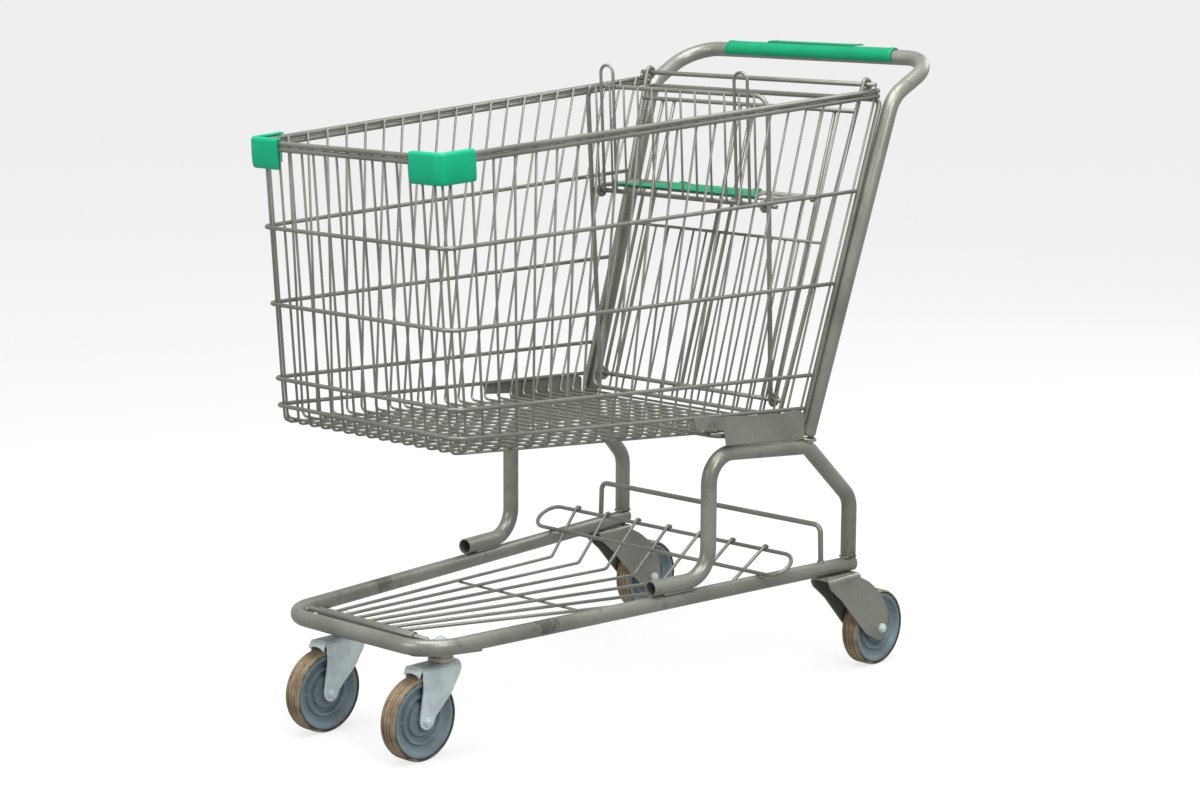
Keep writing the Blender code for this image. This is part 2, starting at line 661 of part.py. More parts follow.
def side_brackets():
    """Sheet plates that tie the basket's lower rear corners to the side frames."""
    for side, sign in SIDES:
        def foot(y):
            return mix(SHOULDER_Z, SHOULDER_END_Z, (y - LEG_Y) / (SHOULDER_END_Y - LEG_Y)) + TUBE + 4 * FIT
        rear_y = edge_rod_y(FLOOR_REAR[1] + 0.004) - EDGE_ROD * UPRIGHT_SLANT - 0.002
        outline = [(-0.026, 0.462), (0.165, 0.446), (0.202, 0.448), (rear_y, 0.440), (rear_y, foot(rear_y)),
                   (0.046, foot(0.046)), (0.040, 0.436), (-0.020, 0.442)]
        mesh = bmesh.new()
        near = [mesh.verts.new((sign * (basket_x(y) + ROD + FIT), y, z)) for y, z in outline]
        far = [mesh.verts.new((sign * (basket_x(y) + ROD + FIT + BRACKET_SHEET), y, z)) for y, z in outline]
        mesh.faces.new(near)
        mesh.faces.new(list(reversed(far)))
        for k, vertex in enumerate(near):
            after = (k + 1) % len(near)
            mesh.faces.new((vertex, near[after], far[after], far[k]))
        add_object("side_bracket_" + side, mesh, PAINT, smooth=False)


# ---------------------------------------------------------------- basket
def basket_walls():
    wall_height = RIM_FRONT[1] - FLOOR_FRONT[1]
    run = RIM_REAR[0] - RIM_FRONT[0]
    for side, sign in SIDES:
        def place(u, v, w, sign=sign):
            level = v / wall_height
            (front_y, front_z), (rear_y, rear_z) = front_line(level), rear_line(level)
            y = mix(front_y + BASKET_CORNER, rear_y - 2 * FIT, u / run)
            z = mix(front_z, rear_z, (y - front_y) / (rear_y - front_y))
            return Vector((sign * (basket_x(y) - WALL_INSET + w), y, z))
        columns = spread(WIRE, run - WIRE, SIDE_WIRES)
        rows = [WIRE, wall_height - WIRE]
        add_object("basket_side_" + side, lattice(place, columns, rows, WIRE, WIRE), PAINT, smooth=False)

    half = basket_x(RIM_FRONT[0]) - BASKET_CORNER

    def place_front(u, v, w):
        y, z = front_line(v / wall_height)
        return Vector((u, y + WALL_INSET + w, z))
    add_object("basket_front", lattice(place_front, spread(-half, half, FRONT_WIRES),
               [WIRE, wall_height - WIRE], WIRE, WIRE), PAINT, smooth=False)


def basket_floor():
    front = FLOOR_FRONT[0] + WALL_INSET + 2 * WIRE
    rear = FLOOR_REAR[0]
    columns = spread(-1.0, 1.0, FLOOR_LONG_WIRES)
    nominal = BASKET_REAR_HALF
    lines = [c * nominal for c in columns]

    def place(u, v, w):
        nearest = min(lines, key=lambda line: abs(line - u))
        taper = BASKET_CORNER / 2 * max(0.0, 1.0 - (v - front) / BASKET_CORNER)
        half = basket_x(v) - WALL_INSET - 2 * WIRE - FIT - taper
        return Vector((nearest / nominal * half + u - nearest, v, floor_z(v) + w))
    rows = spread(front + WIRE, rear - WIRE, FLOOR_CROSS_WIRES)
    add_object("basket_floor", lattice(place, lines, rows, WIRE, WIRE, [front + BASKET_CORNER + 0.001]),
               PAINT, smooth=False)


def basket_rods():
    for number, level in enumerate(HOOP_LEVELS, 1):
        add_object(f"basket_hoop_{number}", sweep(wall_path(level), round_section(ROD, 6)), PAINT)
    for name, lift in (("basket_rim_lower", -RIM_ROD - FIT / 2), ("basket_rim_upper", RIM_ROD + FIT / 2)):
        path = [point + Vector((0.0, 0.0, lift)) for point in wall_path(1.0)]
        add_object(name, sweep(path, round_section(RIM_ROD, 6)), PAINT)
    low = FLOOR_REAR[1] + 0.004
    points = [(basket_x(edge_rod_y(low)), edge_rod_y(low), low),
              (basket_x(edge_rod_y(CROSS_ROD_Z)), edge_rod_y(CROSS_ROD_Z), CROSS_ROD_Z)]
    rod("basket_rear_rod", points + [(-x, y, z) for x, y, z in reversed(points)], EDGE_ROD, bend=0.012)
    reach = basket_x(HINGE_Y) + RIM_ROD
    rod("gate_hinge_rod", [(-reach, HINGE_Y, HINGE_Z), (reach, HINGE_Y, HINGE_Z)], HINGE_ROD, sides=12)


def corner_bumpers():
    """Plastic guards hooked over the rim round the nose corners."""
    top = 2 * RIM_ROD + 2 * FIT
    section = [(-BUMPER_SHEET, -BUMPER_HEIGHT), (0.0, -BUMPER_HEIGHT), (0.0, top), (BUMPER_FLANGE, top),
               (BUMPER_FLANGE, top + 0.003), (-BUMPER_SHEET, top + 0.003)]
    front_y, front_z = front_line(1.0)
    outward = RIM_ROD + FIT
    corner = Vector((basket_x(front_y) + outward, front_y - outward, front_z))
    rise = (rear_line(1.0)[1] - front_z) / (rear_line(1.0)[0] - front_y)
    widen = basket_x(front_y + BUMPER_REACH) - basket_x(front_y)
    start = corner + Vector((widen, BUMPER_REACH, rise * BUMPER_REACH))
    end = corner - Vector((BUMPER_REACH, 0.0, 0.0))
    path = fillet([start, corner, end], BUMPER_CORNER, 5)
    for side, sign in SIDES:
        mesh = sweep(path, section)
        bmesh.ops.scale(mesh, vec=(sign, 1.0, 1.0), verts=mesh.verts)
        add_object("corner_bumper_" + side, mesh, GREEN)


# ---------------------------------------------------------------- gate
def rear_gate(parent):
    """Frame rod with an eye at each top end round the hinge rod, pivot rod, top rod, grid, leg bars."""
    tangent = math.pi - math.atan(GATE_LEAN)
    eye = hook((0.0, HINGE_Y, HINGE_Z), GATE_EYE, tangent, -math.radians(270.0))

    def at(x, z):
        return gate_point(x, z)
    top_half, foot_half = gate_half(HINGE_Z), gate_half(GATE_FOOT_Z)
    left = [Vector((top_half, p.y, p.z)) for p in reversed(eye)]
    right = [Vector((-p.x, p.y, p.z)) for p in reversed(left)]
    foot = fillet([left[-1], at(foot_half, GATE_FOOT_Z), at(-foot_half, GATE_FOOT_Z), right[0]], 0.014, 3)
    frame = add_object("gate_frame", sweep(left[:-1] + foot + right[1:], round_section(GATE_ROD, 6)), PAINT, parent)
    bars = []
    for name, z, off in (("gate_top_bar", GATE_TOP_Z, 0.0), ("gate_pivot_bar", GATE_PIVOT_Z, 0.0)):
        half = gate_half(z)
        bars.append(add_object(name, sweep([gate_point(-half, z, off), gate_point(half, z, off)],
                                           round_section(GATE_ROD, 12)), PAINT, parent))
    join_solids(frame, *bars)

    low, high = GATE_PIVOT_Z + BACK_EYE + BACK_ROD + WIRE + 2 * RUN, GATE_MID_Z
    stub = GATE_PIVOT_Z + GATE_ROD + 2 * FIT
    lines = spread(-GATE_WIRE_SPAN, GATE_WIRE_SPAN, GATE_WIRES)

    def place(u, v, w):
        reach = gate_half(v) - GATE_ROD - FIT
        overhang = abs(u) - GATE_WIRE_SPAN - WIRE
        x = math.copysign(reach, u) if overhang > 0.001 else u
        return gate_point(x, v, w)
    add_object("gate_grid", lattice(place, lines, [low, high], WIRE, WIRE, [stub], 0.02), PAINT, parent, False)
    foot_z, top_z = high + WIRE + FIT, GATE_TOP_Z - 2 * GATE_ROD - FIT
    for name, middle in (("left", LEG_BAR_X), ("centre", 0.0), ("right", -LEG_BAR_X)):
        bar = [gate_point(middle + LEG_BAR_SPREAD, foot_z), gate_point(middle + LEG_BAR_SPREAD, top_z),
               gate_point(middle - LEG_BAR_SPREAD, top_z), gate_point(middle - LEG_BAR_SPREAD, foot_z)]
        rod("gate_leg_bars_" + name, bar, ROD, bend=0.009, steps=2, parent=parent)


# ---------------------------------------------------------------- child seat
BACK_EYE = GATE_ROD + RUN + BACK_ROD
BACK_PIVOT = gate_point(0.0, GATE_PIVOT_Z)
BACK_SLANT = math.hypot(1.0, BACK_LEAN)
SEAT_EYE = BACK_ROD + RUN + GATE_ROD


def back_y(z):
    """The seat back's sheet: its legs run just ahead of the gate's pivot bar."""
    return BACK_PIVOT.y - BACK_EYE * BACK_SLANT - BACK_LEAN * (z - BACK_PIVOT.z)


def back_point(x, z, off=0.0):
    return Vector((x, back_y(z) + off / BACK_SLANT, z + off * BACK_LEAN / BACK_SLANT))


SEAT_PIVOT = back_point(0.0, SEAT_Z, 2 * BACK_ROD + FIT)


def seat_back(parent):
    """Inverted U with an eye at each foot, the cross rod for the seat, wires and two head loops."""
    tangent = math.pi + math.atan(BACK_LEAN)
    eye = hook((0.0, BACK_PIVOT.y, BACK_PIVOT.z), BACK_EYE, tangent, math.radians(270.0))
    right = [Vector((-BACK_FOOT_HALF, p.y, p.z)) for p in eye]
    left = [Vector((BACK_FOOT_HALF, p.y, p.z)) for p in reversed(eye)]
    over = fillet([left[-1], back_point(BACK_HALF, BACK_TOP_Z), back_point(-BACK_HALF, BACK_TOP_Z), right[0]], 0.024, 4)
    add_object("seat_back_frame", sweep(left[:-1] + over + right[1:], round_section(BACK_ROD, 6)), PAINT, parent)

    ahead = -(BACK_ROD + WIRE + FIT)
    half = BACK_HALF - BACK_ROD
    low = SEAT_Z + 0.004

    def place(u, v, w):
        return back_point(u, v, ahead + w)
    lines = spread(-half + 0.020, half - 0.020, BACK_WIRES)
    rows = [low, BACK_TOP_Z - BACK_ROD]
    grid = add_object("seat_back_grid", lattice(place, lines, rows, WIRE, WIRE, row_overhang=0.016),
                      PAINT, parent, False)
    loops = []
    for side, sign in SIDES:
        outline = [back_point(sign * HEAD_LOOP_X + HEAD_LOOP_HALF, low, ahead),
                   back_point(sign * HEAD_LOOP_X + HEAD_LOOP_HALF, HEAD_LOOP_TOP_Z, ahead),
                   back_point(sign * HEAD_LOOP_X - HEAD_LOOP_HALF, HEAD_LOOP_TOP_Z, ahead),
                   back_point(sign * HEAD_LOOP_X - HEAD_LOOP_HALF, low, ahead)]
        path = fillet(outline, HEAD_LOOP_HALF * 0.96, 4)
        loops.append(add_object("head_loop_" + side, sweep(path, round_section(WIRE * 1.15, 6)), PAINT, parent))
    join_solids(grid, *loops)
    reach = BACK_HALF + 0.008
    rod("seat_cross_rod", [SEAT_PIVOT - Vector((reach, 0, 0)), SEAT_PIVOT + Vector((reach, 0, 0))], BACK_ROD,
        sides=12, parent=parent)


def seat(parent):
    """Seat frame hooked on the cross rod, with its wires; it lies level when the seat is open."""
    level = SEAT_PIVOT.z + SEAT_EYE
    rear_y = SEAT_PIVOT.y + SEAT_DEPTH
    eye = hook((0.0, SEAT_PIVOT.y, SEAT_PIVOT.z), SEAT_EYE, math.pi / 2, math.radians(270.0))
    bar = sweep([(-SEAT_BAR_HALF, rear_y, level), (SEAT_BAR_HALF, rear_y, level)], round_section(GATE_ROD, 12))
    frame = add_object("seat_frame", bar, PAINT, parent)
    for side, sign in SIDES:
        line = [Vector((sign * SEAT_HALF, p.y, p.z)) for p in reversed(eye)]
        line.append(Vector((sign * SEAT_HALF, rear_y, level)))
        join_solids(frame, add_object("seat_side_" + side, sweep(line, round_section(GATE_ROD, 6)), PAINT, parent))
    front = SEAT_PIVOT.y + SEAT_EYE + 2 * GATE_ROD
    last = rear_y - GATE_ROD - FLAP_EYE_ROOM
    half = SEAT_HALF - GATE_ROD - FIT
    lines = spread(-half + 0.012, half - 0.012, SEAT_WIRES)

    def place(u, v, w):
        return Vector((u, v, level + w))
    add_object("seat_grid", lattice(place, lines, [front, last], WIRE, WIRE, row_overhang=0.012 - WIRE),
               PAINT, parent, False)


def seat_flap(parent):
    """Plastic flap clipped on the seat's rear rod; it lies on the wires or stands against the gate."""
    level = SEAT_PIVOT.z + SEAT_EYE
    rear_y = SEAT_PIVOT.y + SEAT_DEPTH
    low = level + WIRE + FIT
    front = rear_y - GATE_ROD - 0.004 - FLAP_DEPTH
    back = rear_y - GATE_ROD - 0.0015
    edge = [(FLAP_HALF, front), (FLAP_HALF, front + 0.008), (FLAP_REAR_HALF, back - 0.010), (FLAP_REAR_HALF, back)]
    outline = edge + [(-x, y) for x, y in reversed(edge)]
    flap = add_object("seat_flap", extruded(outline, low, low + FLAP_SHEET, "Z"), GREEN, parent, smooth=False)
    inner, outer = GATE_ROD + RUN, GATE_ROD + RUN + 0.0022
    spacing = (2 * (SEAT_HALF - GATE_ROD - FIT - 0.012)) / (SEAT_WIRES - 1)
    clips = []
    for side, sign in SIDES:
        middle = sign * spacing * 1.5
        outline = arc((rear_y, level), outer, 155, -120, 9) + list(reversed(arc((rear_y, level), inner, 155, -120, 9)))
        clips.append(add_object("flap_clip_" + side, extruded(outline, middle - FLAP_CLIP / 2, middle + FLAP_CLIP / 2),
                                GREEN, parent))
    join_solids(flap, *clips)


# ---------------------------------------------------------------- lower tray
def lower_tray(parent):
    sleeve_outer = TRAY_ROD + RUN + TRAY_SLEEVE_WALL
    bore = TRAY_ROD + RUN
    profile = [(bore, -TRAY_SLEEVE_HALF), (sleeve_outer, -TRAY_SLEEVE_HALF),
               (sleeve_outer, TRAY_SLEEVE_HALF), (bore, TRAY_SLEEVE_HALF)]
    centre = (0.0, TRAY_PIVOT_Y, TRAY_PIVOT_Z)
    start = (TRAY_PIVOT_Y + sleeve_outer - TRAY_WIRE, TRAY_PIVOT_Z)
    line = [start, TRAY_KINK, TRAY_TOP]
    lines = spread(-TRAY_KINK_HALF, TRAY_KINK_HALF, TRAY_WIRES)
    reach = TRAY_KINK[0] - start[0]

    def place(u, v, w):
        nearest = min(lines, key=lambda x: abs(x - u))
        if v <= TRAY_KINK[0]:
            share = (v - start[0]) / reach
            half, z = mix(TRAY_FRONT_HALF, TRAY_KINK_HALF, share), mix(start[1], TRAY_KINK[1], share)
        else:
            share = (v - TRAY_KINK[0]) / (TRAY_TOP[0] - TRAY_KINK[0])
            half, z = mix(TRAY_KINK_HALF, TRAY_TOP_HALF, share), mix(TRAY_KINK[1], TRAY_TOP[1], share)
        return Vector((nearest * half / TRAY_KINK_HALF + u - nearest, v, z + w))
    rows = [start[0] + TRAY_WIRE, TRAY_CROSS_Y, TRAY_TOP[0] - TRAY_WIRE]
    grid = add_object("tray_wires", lattice(place, lines, rows, TRAY_WIRE, TRAY_WIRE, [TRAY_KINK[0]]),
                      PAINT, parent, False)
    sleeve = add_object("tray_sleeve", turned(profile, 12, "X", centre), PAINT, parent)
    join_solids(grid, sleeve)
    low_z = RAIL_TOP_Z + ROD + FIT
    high = Vector((0.0, TRAY_TOP[0] + ROD + FIT + 0.001, TRAY_TOP[1] + ROD))
    drop = high.z - low_z
    low = Vector((0.0, high.y - math.sqrt(TRAY_LOOP_WIDTH ** 2 - drop ** 2), low_z))
    across = Vector((TRAY_LOOP_HALF, 0.0, 0.0))
    path = fillet([low + across, high + across, high - across, low - across], TRAY_LOOP_WIDTH / 2 * 0.98, 5, True)
    add_object("tray_loop", sweep(path, round_section(ROD, 6), True), PAINT, parent)


def tray_hinge_rod():
    centre_x = NOSE_HALF - NOSE_BEND
    inner = NOSE_BEND - RAIL_WIDTH / 2
    depth = NOSE_Y + NOSE_BEND - TRAY_PIVOT_Y
    reach = centre_x + math.sqrt(inner ** 2 - depth ** 2) - TRAY_ROD
    rod("tray_hinge_rod", [(-reach, TRAY_PIVOT_Y, TRAY_PIVOT_Z), (reach, TRAY_PIVOT_Y, TRAY_PIVOT_Z)],
        TRAY_ROD, sides=12)


# ---------------------------------------------------------------- the cart
def build():
    clear_scene()
    base_frame()
    mount_plates()
    caster_stems()
    rear_forks()
    casters = {side: pivot("caster_pivot_" + side, (sign * STEM_X, STEM_Y, RAIL_FOOT_Z)) for side, sign in SIDES}
    caster_forks(casters)
    wheels(casters)
    side_frames()
    handle_frame()
    handle_grip()
    rear_guard()
    support_rod()
    side_brackets()
    basket_walls()
    basket_floor()
    basket_rods()
    corner_bumpers()
    rear_gate(pivot("gate_pivot", (0.0, HINGE_Y, HINGE_Z)))
    seat_back(pivot("seat_back_pivot", BACK_PIVOT))
    seat_hinge = pivot("seat_pivot", SEAT_PIVOT)
    seat(seat_hinge)
    seat_flap(pivot("flap_pivot", (0.0, SEAT_PIVOT.y + SEAT_DEPTH, SEAT_PIVOT.z + SEAT_EYE)))
    tray_hinge_rod()
    lower_tray(pivot("tray_pivot", (0.0, TRAY_PIVOT_Y, TRAY_PIVOT_Z)))


build()
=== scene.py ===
"""Looks of a supermarket shopping cart: lacquered tubes and wires, zinc casters, green fittings.

Metres, +Z up. The nose points to -Y and the handle stands at +Y, so the user's left side is +X.
"""
import logging
import math
from dataclasses import dataclass, field
from enum import Enum
from typing import Iterable, Sequence

import bmesh
import bpy
from mathutils import Matrix, Vector


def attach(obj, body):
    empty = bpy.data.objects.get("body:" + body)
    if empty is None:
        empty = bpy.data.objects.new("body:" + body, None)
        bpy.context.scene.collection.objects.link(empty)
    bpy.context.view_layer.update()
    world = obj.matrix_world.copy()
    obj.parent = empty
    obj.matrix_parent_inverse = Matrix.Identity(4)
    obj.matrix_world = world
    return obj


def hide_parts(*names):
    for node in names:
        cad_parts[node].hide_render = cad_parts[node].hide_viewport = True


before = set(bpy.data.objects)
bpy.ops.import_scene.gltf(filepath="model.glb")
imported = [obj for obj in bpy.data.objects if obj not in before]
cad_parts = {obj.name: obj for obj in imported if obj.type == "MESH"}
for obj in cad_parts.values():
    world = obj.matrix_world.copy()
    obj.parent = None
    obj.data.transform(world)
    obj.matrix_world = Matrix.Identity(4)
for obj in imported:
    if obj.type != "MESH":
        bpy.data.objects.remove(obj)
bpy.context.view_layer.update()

log = logging.getLogger("cart")
Point = Sequence[float]
Socket = bpy.types.NodeSocket
Finish = bpy.types.Material
Piece = bpy.types.Object
HALF_TURN = math.pi
FULL_TURN = 2.0 * math.pi


class Side(Enum):
    """The two sides of the cart, seen by its user."""

    LEFT = 1.0
    RIGHT = -1.0

    @property
    def tag(self) -> str:
        """The side's word in piece and body names."""
        return self.name.lower()


class Slot(Enum):
    """The record's material slots."""

    PAINT = "frame_paint"
    ZINC = "zinc_plate"
    GREEN = "green_plastic"
    HUB = "hub_plastic"
    TYRE = "tyre_rubber"


class Axis(Enum):
    """Axes that a form may be turned or extruded about."""

    X = 0
    Y = 1
    Z = 2


# ---------------------------------------------------------------- small geometry
def mix(a: float, b: float, share: float) -> float:
    """Returns the value a share of the way from a to b."""
    return a + (b - a) * share


def spread(low: float, high: float, count: int) -> list[float]:
    """Returns count evenly spaced values from low to high."""
    return [mix(low, high, k / (count - 1)) for k in range(count)]


def mirrored(points: Iterable[Point]) -> list[Vector]:
    """Returns the points on the cart's other side, in reverse order."""
    return [Vector((-p[0], p[1], p[2])) for p in reversed(list(points))]


def broken_line(stops: Sequence[tuple[float, float]], at: float) -> float:
    """Reads a broken line.

    Args:
        stops: (place, value) pairs in rising order of place.
        at: the place to read it at.

    Returns:
        The value there, held level past both ends.
    """
    if at <= stops[0][0]:
        return stops[0][1]
    for (low, first), (high, second) in zip(stops, stops[1:]):
        if at <= high:
            return mix(first, second, (at - low) / (high - low))
    return stops[-1][1]


def fillet(points: Sequence[Point], radius: float | Sequence[float], steps: int = 8,
           closed: bool = False) -> list[Vector]:
    """Rounds the corners of a polyline with arcs.

    Args:
        points: the corners of the line.
        radius: one bend radius, or one for each corner.
        steps: spans in each bend.
        closed: whether the line returns to its start.

    Returns:
        The points of the rounded line.
    """
    corners = [Vector(p) for p in points]
    count = len(corners)
    radii = list(radius) if isinstance(radius, (list, tuple)) else [radius] * count
    path: list[Vector] = []
    for index, corner in enumerate(corners):
        if not closed and index in (0, count - 1):
            path.append(corner)
            continue
        towards = (corners[index - 1] - corner).normalized()
        away = (corners[(index + 1) % count] - corner).normalized()
        angle = towards.angle(away)
        if angle > math.radians(178.0) or radii[index] <= 0.0:
            path.append(corner)
            continue
        setback = radii[index] / math.tan(angle / 2)
        centre = corner + (towards + away).normalized() * (radii[index] / math.sin(angle / 2))
        start = corner + towards * setback - centre
        end = corner + away * setback - centre
        turn, axis = start.angle(end), start.cross(end).normalized()
        path += [centre + Matrix.Rotation(turn * step / steps, 3,
                                          axis) @ start for step in range(steps + 1)]
    return path


def arc(centre: tuple[float, float], radius: float, start: float, end: float,
        steps: int) -> list[tuple[float, float]]:
    """Returns the points of a flat arc between two angles in degrees."""
    angles = (math.radians(mix(start, end, k / steps)) for k in range(steps + 1))
    return [(centre[0] + radius * math.cos(a), centre[1] + radius * math.sin(a)) for a in angles]


def eye(centre: Point, radius: float, start: float, turn: float, steps: int = 18) -> list[Vector]:
    """Returns the points of an eye bent round an axis along X.

    Args:
        centre: the middle of the eye.
        radius: to the middle of its wire.
        start: first angle, from +Y towards +Z.
        turn: how far it is bent, in radians.
        steps: spans in the bend.
    """
    angles = (start + turn * k / steps for k in range(steps + 1))
    return [Vector((centre[0], centre[1] + radius * math.cos(a),
                    centre[2] + radius * math.sin(a))) for a in angles]


# ---------------------------------------------------------------- finishes
class Graph:
    """A material's nodes, with short calls for the ones the finishes use."""

    def __init__(self, name: str) -> None:
        """Starts a Principled material of that name.

        Args:
            name: name of the material.
        """
        self.material = bpy.data.materials.new(name)
        self.material.use_nodes = True
        self.nodes = self.material.node_tree.nodes
        self.links = self.material.node_tree.links
        self.shader = self.nodes["Principled BSDF"]
        self.place = self.nodes.new("ShaderNodeTexCoord").outputs["Object"]

    def put(self, socket: Socket, value: object) -> None:
        """Links or sets a socket.

        Args:
            socket: the socket to set.
            value: another socket, a colour or a number.
        """
        if isinstance(value, Socket):
            self.links.new(value, socket)
        elif isinstance(value, tuple) and len(value) == 3 and socket.type == "RGBA":
            socket.default_value = (*value, 1.0)
        else:
            socket.default_value = value

    def stretched(self, scale: Point) -> Socket:
        """Returns the object's coordinates, stretched.

        Args:
            scale: how far each axis is stretched.

        Returns:
            The resulting socket.
        """
        node = self.nodes.new("ShaderNodeMapping")
        self.put(node.inputs["Vector"], self.place)
        self.put(node.inputs["Scale"], tuple(scale))
        return node.outputs["Vector"]

    def noise(self, scale: float, detail: float = 4.0, place: object = None,
              distortion: float = 0.0) -> Socket:
        """Returns cloudy noise of that scale.

        Args:
            scale: how fine it is.
            detail: how many finer layers it has.
            place: coordinates to use instead of the plain ones.
            distortion: how far it is warped.

        Returns:
            The resulting socket.
        """
        node = self.nodes.new("ShaderNodeTexNoise")
        self.put(node.inputs["Vector"], place or self.place)
        self.put(node.inputs["Scale"], scale)
        self.put(node.inputs["Detail"], detail)
        self.put(node.inputs["Distortion"], distortion)
        return node.outputs["Fac"]

    def ranged(self, value: object, low: float, high: float, to_low: float = 0.0,
               to_high: float = 1.0) -> Socket:
        """Maps low to high on to to_low to to_high, held at the ends.

        Args:
            value: what is mapped.
            low: where the range starts.
            high: where the range ends.
            to_low: the result at low.
            to_high: the result at high.

        Returns:
            The resulting socket.
        """
        node = self.nodes.new("ShaderNodeMapRange")
        node.interpolation_type = "SMOOTHSTEP"
        for name, item in (("Value", value), ("From Min", low), ("From Max", high), ("To Min", to_low),
                           ("To Max", to_high)):
            self.put(node.inputs[name], item)
        return node.outputs["Result"]

    def blended(self, share: object, first: object, second: object) -> Socket:
        """Mixes two colours.

        Args:
            share: how much of the second colour shows.
            first: the colour beneath.
            second: the colour over it.

        Returns:
            The resulting socket.
        """
        node = self.nodes.new("ShaderNodeMix")
        node.data_type = "RGBA"
        self.put(node.inputs[0], share)
        self.put(node.inputs[6], first)
        self.put(node.inputs[7], second)
        return node.outputs[2]

    def maths(self, operation: str, first: object, second: object = 0.0) -> Socket:
        """Does one sum.

        Args:
            operation: the sum, as the maths node names it.
            first: first value.
            second: second value.

        Returns:
            The resulting socket.
        """
        node = self.nodes.new("ShaderNodeMath")
        node.operation = operation
        self.put(node.inputs[0], first)
        self.put(node.inputs[1], second)
        return node.outputs[0]

    def from_axle(self) -> Socket:
        """Returns the distance from the object's own X axis.

        Returns:
            The resulting socket.
        """
        split = self.nodes.new("ShaderNodeSeparateXYZ")
        self.put(split.inputs[0], self.place)
        join = self.nodes.new("ShaderNodeCombineXYZ")
        self.put(join.inputs[1], split.outputs[1])
        self.put(join.inputs[2], split.outputs[2])
        length = self.nodes.new("ShaderNodeVectorMath")
        length.operation = "LENGTH"
        self.put(length.inputs[0], join.outputs[0])
        return length.outputs["Value"]

    def distance(self, spot: Point) -> Socket:
        """Returns the distance from a place on the object.

        Args:
            spot: the place, in the object's own coordinates.

        Returns:
            The resulting socket.
        """
        away = self.nodes.new("ShaderNodeVectorMath")
        away.operation = "DISTANCE"
        self.put(away.inputs[0], self.place)
        self.put(away.inputs[1], tuple(spot))
        return away.outputs["Value"]

    def bump(self, height: object, strength: float, distance: float) -> None:
        """Roughens the surface by a height.

        Args:
            height: the height to follow.
            strength: share of it that shows.
            distance: depth in metres.
        """
        node = self.nodes.new("ShaderNodeBump")
        self.put(node.inputs["Height"], height)
        self.put(node.inputs["Strength"], strength)
        self.put(node.inputs["Distance"], distance)
        self.put(self.shader.inputs["Normal"], node.outputs["Normal"])

    def surface(self, **values: object) -> Finish:
        """Sets shader sockets by name, with _ for a space, and returns the material.

        Args:
            values: what each socket is set or linked to.

        Returns:
            The finished material.
        """
        for name, value in values.items():
            self.put(self.shader.inputs[name.replace("_", " ")], value)
        return self.material


@dataclass(frozen=True)
class Lacquer:
    """Olive-grey lacquer over steel, speckled, and rubbed darker where carts nest and hands push."""

    name: str = "frame_lacquer"
    colour: tuple[float, float, float] = (0.215, 0.222, 0.186)
    pale: tuple[float, float, float] = (0.290, 0.298, 0.255)
    grime: tuple[float, float, float] = (0.075, 0.078, 0.060)
    metallic: float = 0.45
    mottle: float = 0.40
    speckle: float = 0.45
    rubbed: tuple[tuple[float, float, float], ...] = ()
    rubbed_radius: float = 0.023

    def material(self) -> Finish:
        """Builds the lacquer's nodes.

        Returns:
            The finished material.
        """
        graph = Graph(self.name)
        clouds = graph.noise(9.0, 5.0)
        speckle = graph.noise(520.0, 2.0)
        stains = graph.ranged(graph.noise(44.0, 5.0, distortion=0.4), 0.58, 0.76)
        tone = graph.blended(graph.ranged(clouds, 0.34, 0.66), self.colour, self.pale)
        tone = graph.blended(graph.maths("MULTIPLY", stains, self.mottle), tone, self.grime)
        tone = graph.blended(graph.ranged(speckle, 0.55, 0.72, 0.0, self.speckle), tone, self.grime)
        tone = graph.blended(graph.ranged(speckle, 0.44, 0.30, 0.0, self.speckle * 0.6), tone,
                             (0.42, 0.42, 0.37))
        ragged = graph.ranged(graph.noise(150.0, 5.0), 0.25, 0.75, -0.5, 0.5)
        for spot in self.rubbed:
            away = graph.maths("ADD", graph.distance(spot),
                               graph.maths("MULTIPLY", ragged, self.rubbed_radius))
            share = graph.ranged(away, self.rubbed_radius, self.rubbed_radius * 0.55, 0.0, 0.62)
            tone = graph.blended(share, tone, self.grime)
        rough = graph.maths("ADD", graph.ranged(clouds, 0.3, 0.7, 0.30, 0.42),
                            graph.maths("MULTIPLY", stains, 0.12))
        graph.bump(speckle, 0.16, 0.0004)
        return graph.surface(Base_Color=tone, Roughness=rough, Metallic=self.metallic, Coat_Weight=0.15,
                             Coat_Roughness=0.18)


@dataclass(frozen=True)
class ZincPlate:
    """Bright blue-white zinc with streaks and a few rust freckles."""

    name: str = "zinc_plate"
    colour: tuple[float, float, float] = (0.66, 0.76, 0.77)
    shade: tuple[float, float, float] = (0.54, 0.63, 0.64)
    rust: tuple[float, float, float] = (0.20, 0.10, 0.035)

    def material(self) -> Finish:
        """Builds the plate's nodes.

        Returns:
            The finished material.
        """
        graph = Graph(self.name)
        clouds = graph.noise(42.0, 5.0)
        streaks = graph.noise(60.0, 6.0, graph.stretched((1.0, 1.0, 0.15)))
        patches = graph.ranged(graph.noise(120.0, 6.0, distortion=1.2), 0.63, 0.72)
        freckles = graph.maths("MULTIPLY", patches, graph.ranged(graph.noise(22.0, 3.0), 0.50, 0.64))
        tone = graph.blended(graph.ranged(clouds, 0.35, 0.65), self.colour, self.shade)
        tone = graph.blended(graph.ranged(streaks, 0.5, 0.75, 0.0, 0.40), tone, (0.78, 0.86, 0.86))
        tone = graph.blended(freckles, tone, self.rust)
        rough = graph.maths("ADD", graph.ranged(streaks, 0.3, 0.7, 0.22, 0.42),
                            graph.maths("MULTIPLY", freckles, 0.4))
        metal = graph.maths("SUBTRACT", 0.25, graph.maths("MULTIPLY", freckles, 0.25))
        graph.bump(streaks, 0.10, 0.0003)
        return graph.surface(Base_Color=tone, Roughness=rough, Metallic=metal)


